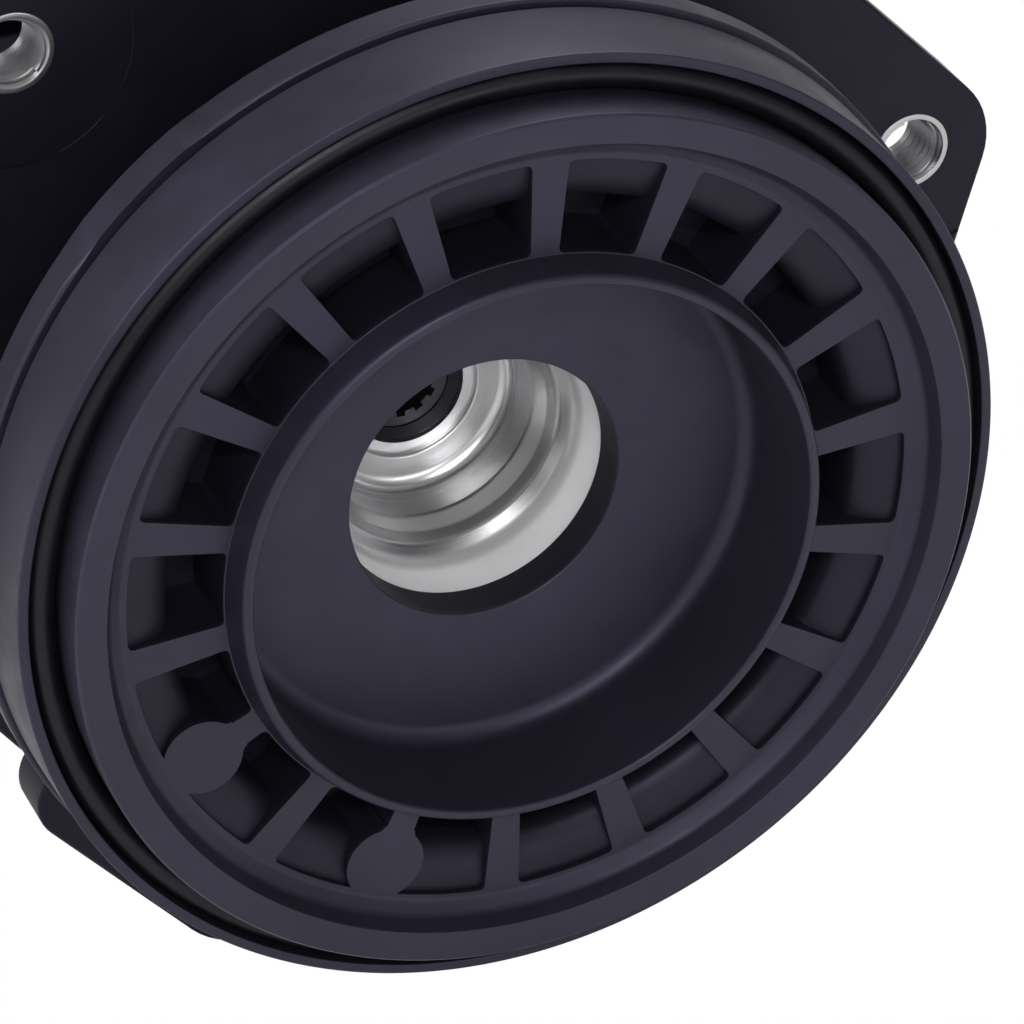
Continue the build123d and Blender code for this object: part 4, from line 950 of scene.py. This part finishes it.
        outer, inner = self.radii()
        rib = [k / 3 for k in range(4)]
        pocket = [1 + k / 14 for k in range(15)]
        shoulder = [(r, self.floor(r)) for r in outer]
        base = [(r, self.deep) for r in inner]
        bottom = [(self.pocket_out, self.web), *shoulder, (self.crown, self.deep), *base,
                  (self.pocket_in, self.web)]
        strip(self.outline(), rib + pocket[1:])
        strip([(r, self.web) for r in outer + inner], rib)
        strip(bottom, pocket)
        for station in (pocket[0], pocket[-1]):
            for line in (shoulder, base):
                for (r, y), (s, w) in zip(line, line[1:]):
                    shape.faces.new((corner(r, self.web, station), corner(s, self.web, station),
                                     corner(s, w, station), corner(r, y, station)))
            (r, y), (s, w) = shoulder[-1], base[0]
            shape.faces.new([corner(r, self.web, station), corner(r, y, station),
                             corner(r, self.deep, station), corner(s, w, station),
                             corner(s, self.web, station)])
        for edge in shape.edges:
            edge[weight] = self.softness(edge)
        return to_object("cover_sector", shape)

    def softness(self, edge: bmesh.types.BMEdge) -> float:
        """Finds how much an edge is rounded.

        Args:
            edge: An edge of the sector.

        Returns:
            One for an edge of a pocket's mouth, and nought for any other.
        """
        level = all(abs(vert.co.y / MM - self.web) < 0.01 for vert in edge.verts)
        reach = [math.hypot(vert.co.x, vert.co.z) / MM for vert in edge.verts]
        inside = all(self.pocket_in - 0.01 < radius < self.pocket_out + 0.01 for radius in reach)
        sharp = len(edge.link_faces) == 2 and edge.calc_face_angle(0.0) > math.radians(40)
        return float(level and inside and sharp)

    def pad_outline(self) -> list[Point]:
        """Draws a round pad with a small fillet where its rib runs on towards the hub.

        Returns:
            Points (outward, aside) from the pad's middle.
        """
        half = self.pad_circle * math.radians(self.rib_angle) / 2
        reach = math.sqrt((self.pad_radius + self.neck) ** 2 - (half + self.neck) ** 2)
        lean = math.degrees(math.atan2(half + self.neck, -reach))
        upper = [(-reach + x, half + self.neck + z) for x, z in
                 (polar(self.neck, -90 + (lean - 90) * k / 6) for k in range(6))]
        round_part = [polar(self.pad_radius, lean - 2 * lean * k / 60) for k in range(61)]
        lower = [(u, -w) for u, w in reversed(upper)]
        return upper + round_part + lower

    def pad_pair(self) -> bpy.types.Object:
        """Builds the pads, level with the ribs.

        Returns:
            The pads, as one piece.
        """
        shape = bmesh.new()
        for index in self.pads:
            angle = self.rib_phase + 360 / self.ribs * index
            place = Vector(polar(self.pad_circle, angle))
            out, aside = Vector(polar(1.0, angle)), Vector(polar(1.0, angle + 90))
            ring = [tuple(place + out * u + aside * w) for u, w in self.pad_outline()]
            add_prism(shape, ring, self.web - self.pad_proud, self.deep + self.pad_root)
        return to_object("front_cover_pads", shape)

    def build(self) -> None:
        """Builds the cover and its pads and hangs them on the case."""
        paint = self.finish.build()
        ring = ring_tree().run(self.sector(), "front_cover_ring", Count=self.ribs, Material=paint)
        ring.data.transform(Matrix.Rotation(-math.radians(self.rib_phase - self.rib_angle / 2), 4, "Y"))
        shape = bmesh.new()
        shape.from_mesh(ring.data)
        bpy.data.objects.remove(ring)
        cover = to_object("front_cover_ribbed", shape)
        weighted_bevel(cover, self.edge)
        settle(cover, CASE, Slot.CASTING, "front_cover", paint=paint)
        settle(self.pad_pair(), CASE, Slot.CASTING, paint=paint)


@dataclass
class FaceSeal:
    """Round rubber ring in the rim's groove."""

    circle: float = 56.775
    section: float = 1.75
    depth: float = 2.03

    def build(self) -> None:
        """Builds the ring."""
        shape = bmesh.new()
        section = [polar(self.section, 15 * k) for k in range(24)]
        add_turned(shape, [(self.circle + out, self.depth + back) for out, back in section], 288)
        settle(to_object("face_seal_ring", shape), CASE, Slot.SEAL, "face_seal")


@dataclass
class BearingCup:
    """Stepped bright cup behind the cover's hole."""

    front: float = 15.6
    inside: tuple[Corner, ...] = ((17.2, 0.0, 0.3), (16.7, 6.8, 2.6), (14.9, 8.6, 1.2), (14.5, 10.4, 1.3),
                                  (13.3, 12.2, 1.4), (13.2, 18.7, 1.9))
    outside: float = 19.0
    floor: float = 18.7
    wall: float = 2.0
    eye: float = 8.8
    sleeve: float = 10.8
    sleeve_length: float = 6.9
    # Matt blast-finished mouth; deep=0.58 is painted shade, darkening the colour deeper in the cup.
    finish: TurnedMetal = TurnedMetal("blasted_turned_steel_painted_shade", (0.84, 0.84, 0.85), (0.93, 0.93, 0.94),
                                      (0.26, 0.33), ring_strength=0.12, blast_and_shade_span=(20.4, 23.4), matt=0.3,
                                      deep=0.58)

    def build(self) -> None:
        """Builds the cup; its inside is listed as radius, depth behind the mouth and fillet."""
        end = self.floor + self.sleeve_length
        back = self.floor + self.wall
        corners = [*self.inside, (self.eye, self.floor, 0.35), (self.eye, end, 0.2), (self.sleeve, end, 0.2),
                   (self.sleeve, back, 0.3), (self.outside, back, 0.4), (self.outside, 0.0, 0.2)]
        shape = bmesh.new()
        add_turned(shape, rounded([(radius, self.front + y, fillet) for radius, y, fillet in corners]), 240)
        cup = to_object("bearing_cup_turned", shape)
        settle(cup, CASE, Slot.BRIGHT, "bearing_cup", paint=self.finish.build())


@dataclass
class LugInserts:
    """Thread inserts of the three mounting lugs."""

    circle: float = 69.5
    angles: tuple[float, ...] = (14.0, 131.0, 252.5)
    plate: float = 37.2
    seat: float = 14.2
    outside: float = 4.98
    mouth: float = 4.3
    root: float = 4.0
    chamfer: float = 0.5
    pitch: float = 1.25
    ridge_depth: float = 0.62
    ridge_foot: float = 0.8
    ridge_crest: float = 0.22
    finish: Metal = Metal("thread_steel", (0.40, 0.40, 0.41), (0.48, 0.48, 0.49), (0.30, 0.38), 0.003)

    def places(self) -> list[Point]:
        """Axes (x, z) of the inserts, in millimetres."""
        return [polar(self.circle, angle) for angle in self.angles]

    def sleeves(self, front: float, back: float) -> bpy.types.Object:
        """Builds the plain sleeves.

        Args:
            front: Their front end along Y, in millimetres.
            back: Their back end along Y, in millimetres.

        Returns:
            The sleeves, as one piece.
        """
        corners = [(self.mouth, front, 0.06), (self.root, front + self.chamfer, 0.06),
                   (self.root, back - self.chamfer / 2, 0.06), (self.mouth, back, 0.06),
                   (self.outside, back, 0.1), (self.outside, front, 0.12)]
        shape = bmesh.new()
        for place in self.places():
            add_turned(shape, rounded(corners, 3), 96, place)
        return to_object("lug_insert_sleeves", shape)

    def threads(self, start: float, length: float, paint: bpy.types.Material) -> bpy.types.Object:
        """Builds the threads' ridges.

        Args:
            start: Where they start along Y, in millimetres.
            length: Their length, in millimetres.
            paint: Their finish.

        Returns:
            The ridges, as one piece.
        """
        ridge = thread_tree().grow("thread_ridge", Radius=self.root * MM, Pitch=self.pitch * MM,
                                   Length=length * MM, Depth=self.ridge_depth * MM, Foot=self.ridge_foot,
                                   Crest=self.ridge_crest, Material=paint)
        points = bpy.data.meshes.new("lug_places")
        points.from_pydata([(x * MM, start * MM, z * MM) for x, z in self.places()], [], [])
        made = scatter_tree().run(linked("lug_places", points), "lug_insert_threads", Piece=ridge,
                                  Lay=(-math.pi / 2, 0.0, 0.0), Seed=4, Material=paint)
        bpy.data.objects.remove(ridge)
        smooth(made.data, 40.0)
        return made

    def build(self) -> None:
        """Builds the sleeves and their threads."""
        low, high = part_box("lug_inserts")
        front, back = low.y / MM, high.y / MM
        paint = self.finish.build()
        settle(self.sleeves(front, back), CASE, Slot.BRIGHT, "lug_inserts", paint=paint)
        threads = self.threads(front + self.chamfer, back - front - 2 * self.chamfer, paint)
        settle(threads, CASE, Slot.BRIGHT)


@dataclass
class ActuatorSpring:
    """Coil spring in the vacuum can, which closes up under the diaphragm's plate."""

    turns: float = 4.0
    wire: float = 0.6
    joint: str = "actuator_slide"

    def build(self) -> None:
        """Winds the spring between its seats."""
        low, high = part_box("actuator_spring")
        middle = (low + high) / 2
        height = high.z - low.z
        wire = self.wire * MM
        made = coil_tree().grow("actuator_spring_coil", Radius=(high.x - low.x) / 2 - wire,
                                Height=height - 2 * wire, Turns=self.turns, Wire=wire,
                                Material=coat(Slot.SPRING))
        made.data.transform(Matrix.Translation((middle.x, middle.y, low.z + wire)))
        smooth(made.data, 40.0)
        settle(made, CASE, Slot.SPRING, "actuator_spring")
        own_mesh(made)


@dataclass
class GearCase:
    """Casting whose solid is copied, merged and given rounded edges."""

    node: str = "gear_case"
    edge: float = 0.4
    least_angle: float = 50.0
    least_length: float = 0.25
    flat_angle: float = 0.3
    lugs: LugInserts = field(default_factory=LugInserts)

    def seat(self, edge: bmesh.types.BMEdge) -> bool:
        """Finds out whether an edge bounds one of the shallow screw seats on the lugs.

        Args:
            edge: An edge of the casting.

        Returns:
            Whether it does.
        """
        middle = (edge.verts[0].co + edge.verts[1].co) / 2 / MM
        return middle.y < self.lugs.plate + 1.0 and any(
            math.hypot(middle.x - x, middle.z - z) < self.lugs.seat + 0.2 for x, z in self.lugs.places())

    def soften(self, shape: bmesh.types.BMesh) -> None:
        """Weights the outer edges that a real casting would have rounded.

        Args:
            shape: The casting's mesh.
        """
        weight = shape.edges.layers.float.new("bevel_weight_edge")
        for edge in shape.edges:
            sharp = len(edge.link_faces) == 2 and edge.calc_face_angle(0.0) > math.radians(self.least_angle)
            slant = edge.verts[1].co - edge.verts[0].co
            if sharp and edge.is_convex and slant.length > self.least_length * MM and not self.seat(edge):
                edge[weight] = 1.0

    def build(self) -> None:
        """Builds the copy."""
        shape = bmesh.new()
        shape.from_mesh(frame["nodes"][self.node].data)
        bmesh.ops.remove_doubles(shape, verts=shape.verts, dist=2e-6)
        bmesh.ops.dissolve_limit(shape, angle_limit=math.radians(self.flat_angle), verts=shape.verts,
                                 edges=shape.edges)
        self.soften(shape)
        made = to_object(self.node + "_cast", shape)
        weighted_bevel(made, self.edge)
        made.modifiers.new("normals", "WEIGHTED_NORMAL").keep_sharp = True
        settle(made, CASE, Slot.CASTING, self.node)


@dataclass
class DressedSolids:
    """Solids whose shape is right: they keep it and get their finish."""

    def build(self) -> None:
        """Dresses every solid."""
        for part in frame["record"]["subparts"]:
            node = frame["nodes"][part["node"]]
            node.data.materials.clear()
            node.data.materials.append(coat(Slot(part["material_slot"])))
            if not node.hide_render:
                LOG.info("solid %s keeps its shape", node.name)


# ---- Studio ----

def facing(place: Corner, aim: Corner) -> Matrix:
    """Places and turns a lamp.

    Args:
        place: Where it hangs, in metres.
        aim: The point that it faces, in metres.

    Returns:
        Its matrix.
    """
    here = Vector(place)
    turn = (Vector(aim) - here).to_track_quat("-Z", "Y")
    return Matrix.Translation(here) @ turn.to_matrix().to_4x4()


@dataclass(frozen=True)
class SoftLamp:
    """Square soft lamp."""

    name: str
    place: Corner
    size: float
    power: float
    aim: Corner = (0.0, 0.02, 0.0)

    def build(self) -> None:
        """Adds the lamp."""
        data = bpy.data.lights.new(self.name, "AREA")
        data.energy = self.power
        data.size = self.size
        linked(self.name, data).matrix_world = facing(self.place, self.aim)


@dataclass(frozen=True)
class Snoot:
    """Narrow lamp that only lights the cup."""

    name: str = "snoot"
    place: Corner = (-0.28, -1.0, 0.85)
    aim: Corner = (0.002, 0.016, -0.002)
    power: float = 92.0
    cone: float = 1.9
    blend: float = 0.3
    size: float = 0.05

    def build(self) -> None:
        """Adds the lamp."""
        data = bpy.data.lights.new(self.name, "SPOT")
        data.energy = self.power
        data.spot_size = math.radians(self.cone)
        data.spot_blend = self.blend
        data.shadow_soft_size = self.size
        linked(self.name, data).matrix_world = facing(self.place, self.aim)


@dataclass
class Studio:
    """Pale floor, soft lamps and the camera."""

    ahead: Corner = (0.32899, 0.78264, -0.52844)
    distance: float = 0.60936
    aside: float = 0.00095
    below: float = 0.00239
    lens: float = 188.26
    sensor: float = 36.0
    mirrored: float = 0.15
    fill: float = 0.22
    floor_reach: float = 4.0
    floor_gap: float = 0.0005
    lamps: tuple[SoftLamp | Snoot, ...] = (
        SoftLamp("front", (-0.38, -1.15, 0.75), 0.8, 8.6),
        SoftLamp("fill_left", (-1.2, -0.5, 0.05), 0.5, 2.2),
        SoftLamp("fill_below", (0.35, -1.2, -0.02), 0.4, 2.6),
        Snoot(),
        SoftLamp("rim_left", (-1.1, 0.25, 0.9), 0.7, 14.0),
        SoftLamp("rim_top", (0.55, 0.5, 1.2), 0.8, 14.0),
    )

    def camera(self) -> None:
        """Places the camera."""
        ahead = Vector(self.ahead).normalized()
        right = Vector((ahead.y, -ahead.x, 0.0)).normalized()
        up = right.cross(ahead)
        data = bpy.data.cameras.new("camera")
        data.lens = self.lens
        data.sensor_width = self.sensor
        data.clip_start, data.clip_end = 0.05, 20.0
        eye = linked("camera", data)
        place = -(right * self.aside - up * self.below + ahead * self.distance)
        eye.matrix_world = Matrix.Translation(place) @ Matrix((right, up, -ahead)).transposed().to_4x4()
        bpy.context.scene.camera = eye

    def shown(self, nodes: Nodes) -> Socket:
        """Finds how a ray sees the surround.

        Args:
            nodes: The tree that needs it.

        Returns:
            One straight from the camera or through glass, and a part of it where mirrored.
        """
        path = nodes.add("ShaderNodeLightPath").outputs
        gloss = nodes.sum("MULTIPLY", path["Is Glossy Ray"], self.mirrored)
        seen = nodes.sum("MAXIMUM", path["Is Camera Ray"], gloss)
        return nodes.sum("MAXIMUM", seen, path["Is Transmission Ray"])

    def world(self) -> None:
        """A white surround that lights softly."""
        world = bpy.data.worlds.new("surround")
        bpy.context.scene.world = world
        world.use_nodes = True
        nodes = Nodes(world.node_tree)
        back = world.node_tree.nodes["Background"]
        strength = nodes.add("ShaderNodeMapRange", Value=self.shown(nodes), To_Min=self.fill, To_Max=1.0)
        nodes.feed(back.inputs["Strength"], strength.outputs[0])
        nodes.feed(back.inputs["Color"], (1.0, 1.0, 1.0))

    def floor(self) -> None:
        """A pale floor under the lowest point."""
        low, far = cad_box[0].z - self.floor_gap, self.floor_reach
        mesh = bpy.data.meshes.new("floor")
        corners = [(-far, -far, low), (far, -far, low), (far, far, low), (-far, far, low)]
        mesh.from_pydata(corners, [], [(0, 1, 2, 3)])
        paint = Paint("pale_floor")
        grain = paint.spread(paint.noise(40.0, 2.0), 0.0, 1.0)
        paint.finish(Base_Color=paint.blend(grain, (0.88, 0.88, 0.88), (0.9, 0.9, 0.9)), Roughness=0.8)
        glow = paint.add("ShaderNodeEmission", Strength=1.0)
        mixed = paint.add("ShaderNodeMixShader", Fac=self.shown(paint), _1=paint.shader.outputs[0],
                          _2=glow.outputs[0])
        paint.feed(paint.tree.nodes["Material Output"].inputs["Surface"], mixed.outputs[0])
        mesh.materials.append(paint.material)
        linked("floor", mesh)

    def build(self) -> None:
        """Builds the studio."""
        self.camera()
        self.world()
        self.floor()
        for lamp in self.lamps:
            lamp.build()
        bpy.context.scene.view_settings.view_transform = "Standard"


def main() -> None:
    """Builds the studio and every sub-assembly."""
    logging.basicConfig(level=logging.INFO, format="%(message)s")
    Studio().build()
    for part in (FrontCover(), FaceSeal(), BearingCup(), LugInserts(), ActuatorSpring(), GearCase(),
                 DressedSolids()):
        LOG.info("building %s", type(part).__name__)
        part.build()


if __name__ == "__main__":
    main()
